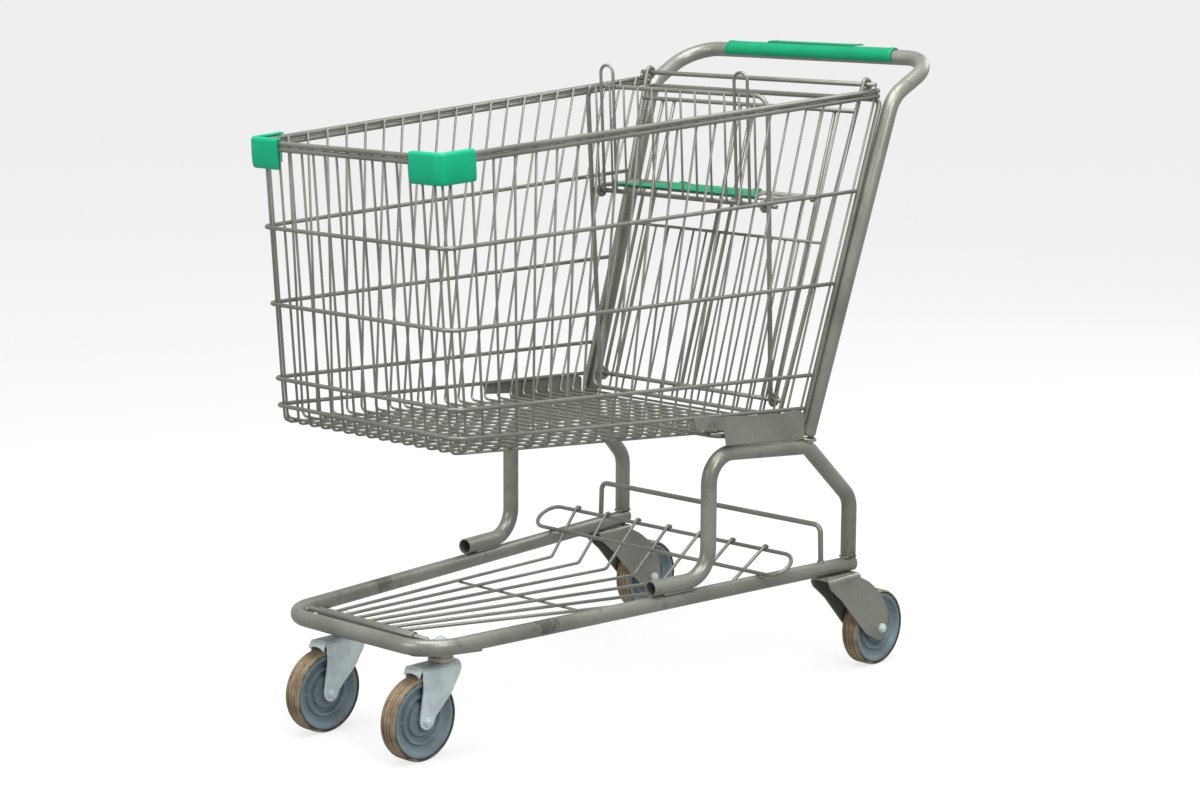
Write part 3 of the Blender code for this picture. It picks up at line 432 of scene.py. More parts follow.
@dataclass(frozen=True)
class MouldedPlastic:
    """Moulded plastic with a fine grain, scuffed paler by hands and knocks."""

    name: str
    colour: tuple[float, float, float]
    scuff: tuple[float, float, float]
    grime: tuple[float, float, float]
    gloss: float = 0.36

    def material(self) -> Finish:
        """Builds the plastic's nodes.

        Returns:
            The finished material.
        """
        graph = Graph(self.name)
        clouds = graph.noise(18.0, 5.0)
        scratches = graph.noise(90.0, 8.0, graph.stretched((0.25, 1.0, 2.6)), 0.5)
        grain = graph.noise(900.0, 2.0)
        marks = graph.ranged(scratches, 0.60, 0.70)
        tone = graph.blended(graph.ranged(clouds, 0.35, 0.70, 0.0, 0.5), self.colour, self.grime)
        tone = graph.blended(graph.maths("MULTIPLY", marks, 0.45), tone, self.scuff)
        rough = graph.maths("ADD", graph.ranged(clouds, 0.3, 0.7, self.gloss, self.gloss + 0.14),
                            graph.maths("MULTIPLY", marks, 0.2))
        graph.bump(graph.maths("ADD", graph.maths("MULTIPLY", grain, 0.5), scratches), 0.12, 0.0003)
        return graph.surface(Base_Color=tone, Roughness=rough, Metallic=0.0, Specular_IOR_Level=0.28)


@dataclass(frozen=True)
class WornRubber:
    """Tan tread rubber, cracked and dusty, that darkens down the side walls."""

    name: str = "tyre_rubber"
    tread: tuple[float, float, float] = (0.190, 0.135, 0.080)
    pale: tuple[float, float, float] = (0.320, 0.245, 0.155)
    wall: tuple[float, float, float] = (0.034, 0.031, 0.026)
    wall_radius: float = 0.0603

    def material(self) -> Finish:
        """Builds the rubber's nodes; the object's X axis is the axle.

        Returns:
            The finished material.
        """
        graph = Graph(self.name)
        along = graph.stretched((9.0, 1.0, 1.0))
        clouds = graph.noise(38.0, 6.0)
        rings = graph.noise(13.0, 2.0, along)
        cracks = graph.ranged(graph.noise(120.0, 7.0, distortion=1.0), 0.60, 0.68)
        tone = graph.blended(graph.ranged(clouds, 0.35, 0.65), self.tread, self.pale)
        tone = graph.blended(graph.ranged(rings, 0.54, 0.68, 0.0, 0.55), tone, (0.095, 0.068, 0.040))
        tone = graph.blended(graph.maths("MULTIPLY", cracks, 0.42), tone, self.wall)
        edge = graph.ranged(graph.maths("ADD", graph.from_axle(),
                                        graph.ranged(clouds, 0.3, 0.7, -0.0020, 0.0020)),
                            self.wall_radius - 0.0028, self.wall_radius + 0.0006)
        tone = graph.blended(edge, self.wall, tone)
        graph.bump(graph.maths("ADD", rings, cracks), 0.28, 0.0005)
        return graph.surface(Base_Color=tone, Roughness=graph.ranged(clouds, 0.3, 0.7, 0.62, 0.85),
                             Metallic=0.0)


@dataclass(frozen=True)
class Palette:
    """Every finish of the cart, built once."""

    paint: Finish
    wire_paint: Finish
    rail_paint: Finish
    zinc: Finish
    collar: Finish
    bright_green: Finish
    deep_green: Finish
    rubber: Finish
    hub: Finish

    @classmethod
    def mixed(cls) -> "Palette":
        """Builds all the finishes.

        Returns:
            The palette.
        """
        return cls(
            paint=Lacquer().material(),
            wire_paint=Lacquer("wire_lacquer", (0.195, 0.201, 0.170), (0.250, 0.256, 0.218), mottle=0.12,
                               speckle=0.22).material(),
            rail_paint=Lacquer("rail_lacquer",
                               rubbed=((0.196, -0.304, 0.183), (-0.171, -0.300, 0.186))).material(),
            zinc=ZincPlate().material(),
            collar=ZincPlate("collar_zinc", (0.56, 0.54, 0.44), (0.36, 0.34, 0.27)).material(),
            bright_green=MouldedPlastic("bumper_green", (0.0, 0.400, 0.200), (0.02, 0.45, 0.25),
                                        (0.0, 0.33, 0.16)).material(),
            deep_green=MouldedPlastic("grip_green", (0.0, 0.280, 0.125), (0.02, 0.35, 0.18),
                                      (0.0, 0.205, 0.095)).material(),
            rubber=WornRubber().material(),
            hub=MouldedPlastic("hub_grey", (0.195, 0.265, 0.290), (0.34, 0.41, 0.43), (0.085, 0.105, 0.112),
                               0.40).material(),
        )


# ---------------------------------------------------------------- drawing meshes
class Sketch:
    """A mesh being drawn; several closed forms may share one piece."""

    def __init__(self) -> None:
        """Starts empty."""
        self.mesh = bmesh.new()

    def rings(self, path: Sequence[Vector], section: Sequence[tuple[float, float]], closed: bool = False,
              scales: Sequence[float] | None = None) -> list[list[bmesh.types.BMVert]]:
        """Places a section square to a path at each of its points.

        Args:
            path: points of the middle line.
            section: (across, up) points of the section.
            closed: whether the path returns to its start.
            scales: size of the section at each point.

        Returns:
            One ring of vertices for each point.
        """
        count = len(path)
        made = []
        side = None
        for index, place in enumerate(path):
            before = path[index - 1] if closed or index else None
            after = path[(index + 1) % count] if closed or index < count - 1 else None
            into = (place - before).normalized() if before is not None else (after - place).normalized()
            out = (after - place).normalized() if after is not None else into
            along = (into + out).normalized()
            stretch = 1.0 / max(0.5, along.dot(out))
            if side is None:
                side = along.cross(Vector((0.0, 0.0, 1.0)))
                if side.length < 0.05:
                    side = along.cross(Vector((0.0, 1.0, 0.0)))
            side = (side - along * side.dot(along)).normalized()
            lift = side.cross(along).normalized()
            bend = out - into
            bent = bend.normalized() if bend.length > 1e-6 else None
            ring = []
            for across, height in section:
                size = scales[index] if scales else 1.0
                offset = side * (across * size) + lift * (height * size)
                if bent is not None:
                    offset += bent * offset.dot(bent) * (stretch - 1.0)
                ring.append(self.mesh.verts.new(place + offset))
            made.append(ring)
        return made

    def skin(self, rings: Sequence[Sequence[bmesh.types.BMVert]], closed: bool = False) -> None:
        """Joins rings of vertices with faces.

        Args:
            rings: rows of vertices, each as long as the next.
            closed: whether the last row joins the first.
        """
        sides = len(rings[0])
        for index in range(len(rings) if closed else len(rings) - 1):
            first, second = rings[index], rings[(index + 1) % len(rings)]
            for k in range(sides):
                after = (k + 1) % sides
                self.mesh.faces.new((first[k], first[after], second[after], second[k]))

    def tube(self, points: Sequence[Point], radius: float, bend: float | Sequence[float] = 0.0,
             sides: int = 12, steps: int = 8, closed: bool = False, width: float | None = None,
             wall: float = 0.0, mouths: tuple[bool, bool] = (False, False)) -> None:
        """Draws a round or oval bar or tube.

        Args:
            points: corners of the middle line.
            radius: half height of the section.
            bend: bend radius at the corners.
            sides: faces round the section.
            steps: spans in each bend.
            closed: whether it is a closed loop.
            width: full width, if it isn't round.
            wall: wall thickness seen at an open end.
            mouths: whether the start and the end are open.
        """
        path = fillet(points, bend, steps, closed) if bend else [Vector(p) for p in points]
        across = radius if width is None else width / 2
        angles = [FULL_TURN * (k + 0.5) / sides for k in range(sides)]
        section = [(across * math.cos(a), radius * math.sin(a)) for a in angles]
        if closed:
            self.skin(self.rings(path, section, True), True)
            return
        scales = [1.0] * len(path)
        rounding = radius * 0.35
        for end, other in ((0, 1), (-1, -2)):
            if not mouths[end]:
                inward = (path[other] - path[end]).normalized() * rounding
                spot = 1 if end == 0 else len(path) - 1
                path.insert(spot, path[end] + inward)
                scales.insert(spot, 1.0)
                scales[end] = 0.72
        made = self.rings(path, section, False, scales)
        self.skin(made)
        thinner = (radius - wall) / radius
        depth = radius * 5.0
        for end, other in ((0, 1), (-1, -2)):
            if not mouths[end]:
                self.mesh.faces.new(made[end])
                continue
            inward = (path[other] - path[end]).normalized()
            centre = path[end]
            lip = [self.mesh.verts.new(centre + (v.co - centre) * thinner) for v in made[end]]
            floor = [self.mesh.verts.new(v.co + inward * depth) for v in lip]
            self.skin([made[end], lip, floor])
            self.mesh.faces.new(floor)

    def turned(self, profile: Sequence[tuple[float, float]], axis: Axis, centre: Point = (0.0, 0.0, 0.0),
               segments: int = 48, teeth: float = 0.0) -> None:
        """Turns a closed outline round an axis.

        Args:
            profile: (radius, distance along the axis) points; a zero radius closes on the axis.
            axis: X or Z.
            centre: a point on the axis.
            segments: faces round the form.
            teeth: share by which every other segment stands back, as knurling.
        """
        middle = Vector(centre)
        columns = []
        poles: dict[int, bmesh.types.BMVert] = {}
        for k in range(segments):
            angle = FULL_TURN * k / segments
            reach = 1.0 - teeth * (k % 2)
            column = []
            for j, (radius, height) in enumerate(profile):
                if radius < 1e-7:
                    if j not in poles:
                        tip = (height, 0.0, 0.0) if axis is Axis.X else (0.0, 0.0, height)
                        poles[j] = self.mesh.verts.new(middle + Vector(tip))
                    column.append(poles[j])
                    continue
                a, b = radius * reach * math.cos(angle), radius * reach * math.sin(angle)
                point = (height, a, b) if axis is Axis.X else (a, b, height)
                column.append(self.mesh.verts.new(middle + Vector(point)))
            columns.append(column)
        last = len(profile) if not poles else len(profile) - 1
        for k in range(segments):
            first, second = columns[k], columns[(k + 1) % segments]
            for j in range(last):
                after = (j + 1) % len(profile)
                corners = [first[j], second[j], second[after], first[after]]
                unique = [v for i, v in enumerate(corners) if v not in corners[:i]]
                if len(unique) > 2:
                    self.mesh.faces.new(unique)

    def hexagon(self, centre: Point, axis: Axis, across: float, low: float, high: float) -> None:
        """Draws a chamfered hexagonal head or nut, between two distances along an axis.

        Args:
            centre: a point on its axis.
            axis: direction of the axis.
            across: width across the flats.
            low: where it starts.
            high: where it ends.
        """
        corner, chamfer = across / math.sqrt(3.0), (high - low) * 0.16
        rows = [(0.90, low), (1.0, low + chamfer), (1.0, high - chamfer), (0.90, high)]
        self.turned([(0.0, low), *((corner * s, h) for s, h in rows), (0.0, high)], axis, centre, 6)

    def plate(self, outline: Sequence[tuple[float, float]], low: float, high: float, axis: Axis) -> None:
        """Extrudes a flat outline along an axis; the outline holds the other two coordinates.

        Args:
            outline: corners of the outline.
            low: where it starts.
            high: where it ends.
            axis: the axis it is extruded along.
        """
        def point(a: float, b: float, along: float) -> tuple[float, float, float]:
            """Returns the outline point at a distance along the axis."""
            return {Axis.X: (along, a, b), Axis.Y: (a, along, b), Axis.Z: (a, b, along)}[axis]

        first = [self.mesh.verts.new(point(a, b, low)) for a, b in outline]
        second = [self.mesh.verts.new(point(a, b, high)) for a, b in outline]
        self.mesh.faces.new(first)
        self.mesh.faces.new(second)
        self.skin([first, second])

    def sheet(self, rows: Sequence[Sequence[Point]], thickness: float) -> None:
        """Draws a bent sheet of even thickness through a grid of points on its middle.

        Args:
            rows: points on its middle.
            thickness: thickness of the sheet.
        """
        grid = [[Vector(p) for p in row] for row in rows]
        height, width = len(grid), len(grid[0])
        faces: dict[int, list[list[bmesh.types.BMVert]]] = {1: [], -1: []}
        for i in range(height):
            line: dict[int, list[bmesh.types.BMVert]] = {1: [], -1: []}
            for j in range(width):
                down = grid[min(i + 1, height - 1)][j] - grid[max(i - 1, 0)][j]
                across = grid[i][min(j + 1, width - 1)] - grid[i][max(j - 1, 0)]
                normal = down.cross(across).normalized()
                for sign in (1, -1):
                    line[sign].append(self.mesh.verts.new(grid[i][j] + normal * (sign * thickness / 2)))
            for sign in (1, -1):
                faces[sign].append(line[sign])
        for sign in (1, -1):
            part = faces[sign]
            for i in range(height - 1):
                for j in range(width - 1):
                    self.mesh.faces.new((part[i][j], part[i][j + 1], part[i + 1][j + 1], part[i + 1][j]))
        rim = ([(0, j) for j in range(width)] + [(i, width - 1) for i in range(1, height)]
               + [(height - 1, j) for j in range(width - 2, -1, -1)]
               + [(i, 0) for i in range(height - 2, 0, -1)])
        for (i, j), (p, q) in zip(rim, rim[1:] + rim[:1]):
            self.mesh.faces.new((faces[1][i][j], faces[1][p][q], faces[-1][p][q], faces[-1][i][j]))

    def bead(self, centre: Point, size: float, squash: float = 0.75) -> None:
        """Draws a small lump of weld.

        Args:
            centre: middle of the lump.
            size: its radius.
            squash: its height as a share of its radius.
        """
        belt, segments = ((0.55, -0.8), (1.0, 0.0), (0.55, 0.8)), 7
        profile = [(0.0, -size * squash), *((size * r, size * squash * h) for r, h in belt),
                   (0.0, size * squash)]
        self.turned(profile, Axis.Z, centre, segments)

    def seam(self, points: Sequence[Point], radius: float, closed: bool = False) -> None:
        """Draws a rippled weld along a line.

        Args:
            points: the line.
            radius: half width of the weld.
            closed: whether the line returns to its start.
        """
        corners = [Vector(p) for p in points]
        if closed:
            corners.append(corners[0])
        path = [corners[0]]
        for start, end in zip(corners, corners[1:]):
            spans = max(1, round((end - start).length / (radius * 0.7)))
            path += [start.lerp(end, k / spans) for k in range(1, spans + 1)]
        if closed:
            path.pop()
        ripple = [1.0 if k % 3 else 0.78 for k in range(len(path))]
        if not closed:
            ripple[0] = ripple[-1] = 0.4
        section = [(radius * math.cos(FULL_TURN * k / 7),
                    radius * math.sin(FULL_TURN * k / 7)) for k in range(7)]
        made = self.rings(path, section, closed, ripple)
        self.skin(made, closed)
        if not closed:
            self.mesh.faces.new(made[0])
            self.mesh.faces.new(made[-1])

    def piece(self, name: str, body: str, finish: Finish, replaces: Sequence[str] = (),
              bevel: float = 0.0, origin: Point | None = None) -> Piece:
        """Ends the sketch as a named piece that rides on a body.

        Args:
            name: the piece's name.
            body: the body it moves with.
            finish: its material.
            replaces: the frame's nodes it stands for.
            bevel: width of the rounding on sharp edges.
            origin: where the object's own origin goes.

        Returns:
            The new object.
        """
        bmesh.ops.recalc_face_normals(self.mesh, faces=self.mesh.faces)
        if origin is not None:
            bmesh.ops.translate(self.mesh, vec=-Vector(origin), verts=self.mesh.verts)
        data = bpy.data.meshes.new(name)
        self.mesh.to_mesh(data)
        self.mesh.free()
        data.shade_smooth()
        data.set_sharp_from_angle(angle=math.radians(42.0))
        item = bpy.data.objects.new(name, data)
        data.materials.append(finish)
        bpy.context.scene.collection.objects.link(item)
        if origin is not None:
            item.location = Vector(origin)
        if bevel:
            rounding = item.modifiers.new("rounding", "BEVEL")
            rounding.width = bevel
            rounding.segments = 3
            rounding.limit_method = "ANGLE"
            rounding.angle_limit = math.radians(42.0)
            rounding.harden_normals = True
        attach(item, body)
        if replaces:
            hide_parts(*replaces)
        log.info("piece %s on %s", name, body)
        return item


# ---------------------------------------------------------------- shared lines
@dataclass(frozen=True)
class Layout:
    """Where the cart's main lines run, and the gauges of its tubes and wires."""

    gap: float = 0.0003
    tube: float = 0.0125
    tube_wall: float = 0.0016
    rod: float = 0.0032
    wire: float = 0.0020
    rim_rod: float = 0.0040
    edge_rod: float = 0.0042
    rail_height: float = 0.0245
    rail_width: float = 0.020
    rail_z: float = 0.178
    nose_y: float = -0.514
    nose_half: float = 0.158
    nose_bend: float = 0.060
    rail_end_y: float = 0.346
    rail_end_half: float = 0.251
    leg_y: float = 0.026
    shoulder_z: float = 0.398
    shoulder_end_y: float = 0.236
    shoulder_end_z: float = 0.384
    upright_lean: float = 0.335
    upright_foot_y: float = 0.236
    handle_y: float = 0.524
    handle_z: float = 0.986
    basket_front_half: float = 0.197
    basket_rear_half: float = 0.249
    basket_corner: float = 0.020
    floor_front: tuple[float, float] = (-0.489, 0.468)
    floor_rear: tuple[float, float] = (0.212, 0.421)
    rim_front: tuple[float, float] = (-0.520, 0.880)
    rim_rear: tuple[float, float] = (0.398, 0.9365)

    @property
    def rail_top(self) -> float:
        """Height of the base rail's top."""
        return self.rail_z + self.rail_height / 2

    @property
    def rail_foot(self) -> float:
        """Height of the base rail's underside."""
        return self.rail_z - self.rail_height / 2

    @property
    def slant(self) -> float:
        """Length along the uprights for each metre of height."""
        return math.hypot(1.0, self.upright_lean)

    @property
    def upright_foot_z(self) -> float:
        """Height of the uprights' feet on the side frames."""
        return self.shoulder_end_z + self.tube * (1.0 + self.upright_lean / self.slant) + self.gap

    @property
    def wall_inset(self) -> float:
        """How far the basket's wires stand inside its hoops."""
        return self.rod + self.wire + self.gap

    def rail_x(self, y: float) -> float:
        """Half width of the base frame's rails."""
        return mix(self.nose_half, self.rail_end_half, (y - self.nose_y) / (self.rail_end_y - self.nose_y))

    def basket_x(self, y: float) -> float:
        """Half width of the basket's wall."""
        share = (y - self.rim_front[0]) / (self.rim_rear[0] - self.rim_front[0])
        return mix(self.basket_front_half, self.basket_rear_half, share)

    def upright_y(self, z: float) -> float:
        """Where the uprights' middle line is at a height."""
        return self.upright_foot_y + self.upright_lean * (z - self.upright_foot_z)

    def edge_rod_y(self, z: float) -> float:
        """Where the basket's rear edge rods are at a height."""
        return self.upright_y(z) - (self.tube + self.edge_rod + self.gap) * self.slant

    def front_line(self, level: float) -> tuple[float, float]:
        """Y and Z of the basket's front at a share of its height."""
        (low_y, low_z), (high_y, high_z) = self.floor_front, self.rim_front
        return mix(low_y, high_y, level), mix(low_z, high_z, level)

    def rear_line(self, level: float) -> tuple[float, float]:
        """Y and Z of the rear ends of the basket's sides at a share of its height.

        Args:
            level: share of the height.

        Returns:
            Y and Z.
        """
        z = mix(self.floor_rear[1], self.rim_rear[1], level)
        room = self.edge_rod * self.slant + 2 * self.rim_rod * self.upright_lean + 2 * self.gap
        return self.edge_rod_y(z) - room, z

    def floor_z(self, y: float) -> float:
        """Height of the basket's floor."""
        share = (y - self.floor_front[0]) / (self.floor_rear[0] - self.floor_front[0])
        return mix(self.floor_front[1], self.floor_rear[1], share)

    def wall_path(self, level: float, inset: float = 0.0, lift: float = 0.0,
                  steps: int = 10) -> list[Vector]:
        """Returns the basket's outline at one level, from one rear end round the nose to the other.

        Args:
            level: share of the height.
            inset: how far inside the wall it runs.
            lift: how far it is raised.
            steps: spans in each corner.

        Returns:
            Its points.
        """
        front_y, front_z = self.front_line(level)
        rear_y, rear_z = self.rear_line(level)
        start = Vector((self.basket_x(rear_y) - inset, rear_y, rear_z + lift))
        corner = Vector((self.basket_x(front_y) - inset, front_y + inset, front_z + lift))
        return fillet([start, corner, *mirrored([start, corner])], self.basket_corner - inset, steps)

    def wall_point(self, share: float, level: float, inset: float) -> Vector:
        """Returns a point on the left wall: a share of the way back, at a share of the height.

        Args:
            share: share of the way back.
            level: share of the height.
            inset: how far inside the wall it is.

        Returns:
            The point.
        """
        (front_y, front_z), (rear_y, rear_z) = self.front_line(level), self.rear_line(level)
        y = mix(front_y + self.basket_corner, rear_y, share)
        return Vector((self.basket_x(y) - inset, y,
                       mix(front_z, rear_z, (y - front_y) / (rear_y - front_y))))


CHASSIS = "chassis"
FRONT_WHEEL = (0.105, -0.484)
REAR_WHEEL = (0.2525, 0.398)


# ---------------------------------------------------------------- base
@dataclass
class BaseFrame:
    """The oval base rail, the side frames on it, the rear guard and the caster plates."""

    lines: Layout
    palette: Palette
    plate: float = 0.0040
    stem_x: float = 0.105
    stem_y: float = -0.438
    foot_y: float = -0.092
    post_y: float = 0.334
    post_top_z: float = 0.288
    guard_y: float = 0.272
    guard_top: float = 0.250
    guard_rod: float = 0.0042
    weld: float = 0.0022

    def rail(self) -> Piece:
        """Draws the rail that runs from one rear end round the nose to the other.

        Returns:
            The finished piece.
        """
        at = self.lines
        ends = [(at.rail_end_half, at.rail_end_y, at.rail_z), (at.nose_half, at.nose_y, at.rail_z)]
        sketch = Sketch()
        sketch.tube(ends + mirrored(ends), at.rail_height / 2, at.nose_bend, 24, 16, width=at.rail_width,
                    wall=at.tube_wall, mouths=(True, True))
        return sketch.piece("base_rail", CHASSIS, self.palette.rail_paint, ["base_frame"])

    def side_frame(self, side: Side) -> Piece:
        """Draws one side's bent tube, with its open foot and the welds that hold it to the rail.

        Args:
            side: which side.

        Returns:
            The finished piece.
        """
        at = self.lines
        foot_z = at.rail_top + at.tube + at.gap
        line = [(self.foot_y, foot_z), (at.leg_y, foot_z), (at.leg_y, at.shoulder_z),
                (at.shoulder_end_y, at.shoulder_end_z), (self.post_y, self.post_top_z),
                (self.post_y, at.rail_top)]
        points = [(side.value * at.rail_x(y), y, z) for y, z in line]
        sketch = Sketch()
        sketch.tube(points, at.tube, [0.0, 0.045, 0.045, 0.028, 0.040, 0.0], 24, 12, wall=at.tube_wall,
                    mouths=(True, False))
        for offset in (-1.0, 1.0):
            seam = [(side.value * at.rail_x(y) + offset * 0.0062, y, at.rail_top + 0.0012)
                    for y in (-0.070, -0.010)]
            sketch.seam(seam, self.weld)
        ring = [(side.value * at.rail_x(self.post_y) + a, b, at.rail_top + 0.0008)
                for a, b in arc((0.0, self.post_y), at.tube, 0, 345, 23)]
        sketch.seam([p for p in ring if abs(p[0] - side.value * at.rail_x(self.post_y)) < 0.0095],
                    self.weld)
        return sketch.piece("side_frame_tube_" + side.tag, CHASSIS, self.palette.paint,
                            ["side_frame_" + side.tag])

    def guard(self) -> Piece:
        """Draws the rod that stands across the rear of the base.

        Returns:
            The finished piece.
        """
        at = self.lines
        half = at.rail_x(self.guard_y)
        side = [(half, self.guard_y, at.rail_top), (half - 0.002, self.guard_y, self.guard_top)]
        sketch = Sketch()
        sketch.tube(side + mirrored(side), self.guard_rod, 0.013, 14, 8)
        for x in (half, -half):
            ring = [(x + a, b, at.rail_top + 0.0004) for a,
                    b in arc((0.0, self.guard_y), self.guard_rod + 0.0006, 0, 330, 11)]
            sketch.seam(ring, self.weld * 0.7, True)
        return sketch.piece("rear_guard", CHASSIS, self.palette.wire_paint, ["rear_guard_rod"])

    def gusset(self, side: Side) -> Piece:
        """Draws the plate under a nose corner.

        Args:
            side: which side.

        Returns:
            The finished piece.
        """
        at = self.lines
        edge = self.stem_y + 0.024
        outline = [(self.stem_x - 0.036, at.nose_y + 0.010), (self.stem_x + 0.014, at.nose_y + 0.010),
                   (self.stem_x + 0.042, self.stem_y - 0.042), (at.rail_x(edge) - 0.001, edge),
                   (self.stem_x + 0.026, edge), (self.stem_x - 0.022, self.stem_y + 0.020),
                   (self.stem_x - 0.036, self.stem_y - 0.010)]
        high = at.rail_foot - at.gap
        sketch = Sketch()
        sketch.plate([(side.value * x, y) for x, y in outline], high - self.plate, high, Axis.Z)
        return sketch.piece("caster_gusset_" + side.tag, CHASSIS, self.palette.paint,
                            ["caster_plate_" + side.tag], bevel=0.0008)

    def build(self) -> None:
        """Builds the base."""
        self.rail()
        self.guard()
        for side in Side:
            self.side_frame(side)
            self.gusset(side)


@dataclass
class FoldedFork:
    """A fork folded from one sheet: a top plate and two blades shaped by rows of (height, front, rear)."""

    gap: float = 0.0345
    sheet: float = 0.0028
    bend: float = 0.0080

    def draw(self, sketch: Sketch, middle_x: float, axle: tuple[float, float], top: float,
             rows: Sequence[tuple[float, float, float]], spans: int = 6) -> None:
        """Draws the folded sheet.

        Args:
            sketch: the sketch to add it to.
            middle_x: the fork's middle.
            axle: Y and Z of the axle.
            top: height of the top plate's upper face.
            rows: (height above the axle, front edge, rear edge) from the bottom up; the edges are
                measured from the axle.
            spans: faces from the front edge to the rear edge.
        """
        half = self.gap / 2 + self.sheet / 2
        level = top - self.sheet / 2
        blade = [(half, axle[1] + height, front, rear) for height, front, rear in rows]
        _, _, top_front, top_rear = blade[-1]
        turn = [(half - self.bend + a, level - self.bend + b, top_front, top_rear)
                for a, b in arc((0.0, 0.0), self.bend, 0, 90, 5)]
        flat = [(x, level, top_front, top_rear) for x in spread(half - self.bend, 0.0, 4)[1:]]
        right = [*blade, *turn, *flat]
        left = [(-x, z, front, rear) for x, z, front, rear in reversed(right[:-1])]
        grid = [[(middle_x + x, axle[0] + y, z) for y in spread(front, rear, spans + 1)]
                for x, z, front, rear in [*right, *left]]
        sketch.sheet(grid, self.sheet)


@dataclass
class Caster:
    """One front caster: knurled collar, stud and nuts on the frame, and the zinc fork that swivels."""

    lines: Layout
    palette: Palette
    side: Side
    x: float = 0.105
    stem_y: float = -0.438
    axle_y: float = -0.484
    wheel_radius: float = 0.0625
    collar_height: float = 0.0200
    collar_radius: float = 0.0190
    stud: float = 0.0055
    plate: float = 0.0040
    fork: FoldedFork = field(default_factory=FoldedFork)

    @property
    def body(self) -> str:
        """The body that swivels."""
        return "caster_" + self.side.tag

    def stem(self) -> Piece:
        """Draws the stud with its nuts and the knurled bearing collar.

        Returns:
            The finished piece.
        """
        at = self.lines
        centre = (self.side.value * self.x, self.stem_y, 0.0)
        plate_low = at.rail_foot - at.gap - self.plate
        collar_low = plate_low - self.collar_height
        fork_low = collar_low - self.fork.sheet - at.gap
        nut, reach = at.rail_foot, self.collar_radius
        sketch = Sketch()
        sketch.turned([(0.0, fork_low - 0.006), (self.stud, fork_low - 0.005), (self.stud, nut + 0.0100),
                       (self.stud * 0.8, nut + 0.0110), (0.0, nut + 0.0110)], Axis.Z, centre, 20)
        sketch.turned([(self.stud, nut), (0.0125, nut), (0.0125, nut + 0.0012), (self.stud, nut + 0.0012)],
                      Axis.Z, centre, 32)
        sketch.hexagon(centre, Axis.Z, 0.0185, nut + 0.0012, nut + 0.0080)
        sketch.hexagon(centre, Axis.Z, 0.0170, fork_low - 0.0040, fork_low)
        stem = sketch.piece("caster_stud_" + self.side.tag, CHASSIS, self.palette.zinc,
                            ["caster_stem_" + self.side.tag])
        sketch = Sketch()
        mid = collar_low + self.collar_height * 0.36
        sketch.turned([(self.stud, collar_low), (reach * 1.00, collar_low),
                       (reach * 1.02, collar_low + 0.0016),
                       (reach * 0.95, mid - 0.0012), (reach * 0.84, mid), (self.stud, mid)], Axis.Z, centre,
                       48)
        sketch.turned([(self.stud, mid + 0.0003), (reach * 0.96, mid + 0.0003), (reach, mid + 0.0012),
                       (reach, plate_low - 0.0014), (reach * 0.96, plate_low - 0.0003),
                       (self.stud, plate_low - 0.0003)],
                      Axis.Z, centre, 72, teeth=0.035)
        sketch.piece("caster_collar_" + self.side.tag, CHASSIS, self.palette.collar)
        return stem

    def swivel(self) -> Piece:
        """Draws the fork, with the rounded lip over its wheel.

        Returns:
            The finished piece.
        """
        at = self.lines
        top = at.rail_foot - 2 * at.gap - self.plate - self.collar_height - at.gap
        rise = top - self.wheel_radius
        rows = [(-0.0132, -0.0010, 0.0010), (-0.0120, -0.0055, 0.0055), (-0.0085, -0.0101, 0.0103),
                (-0.0040, -0.0125, 0.0130), (0.0020, -0.0130, 0.0158), (0.0120, -0.0118, 0.0255),
                (0.0240, -0.0098, 0.0395), (0.0350, -0.0078, 0.0505), (0.0480, -0.0058, 0.0585),
                (rise - 0.0230, -0.0055, 0.0640), (rise - 0.0150, -0.0065, 0.0675),
                (rise - 0.0100, -0.0060, 0.0690)]
        sketch = Sketch()
        middle = self.side.value * self.x
        self.fork.draw(sketch, middle, (self.axle_y, self.wheel_radius), top, rows)
        half = self.fork.gap / 2 - 0.0006
        lip = [[(middle + x, self.axle_y - 0.0055 - 0.0060 * math.sin(a),
                 top - self.fork.sheet * 0.8 - 0.0085 * (1.0 - math.cos(a))
                 - 0.0035 * (x / half) ** 2 * a) for x in spread(-half, half, 9)]
               for a in spread(0.0, 1.35, 6)]
        sketch.sheet(lip, self.fork.sheet * 0.8)
        return sketch.piece("caster_swivel_" + self.side.tag, self.body, self.palette.zinc,
                            ["caster_fork_" + self.side.tag], bevel=0.0006)

    def build(self) -> None:
        """Builds the caster, less its wheel."""
        self.stem()
        self.swivel()


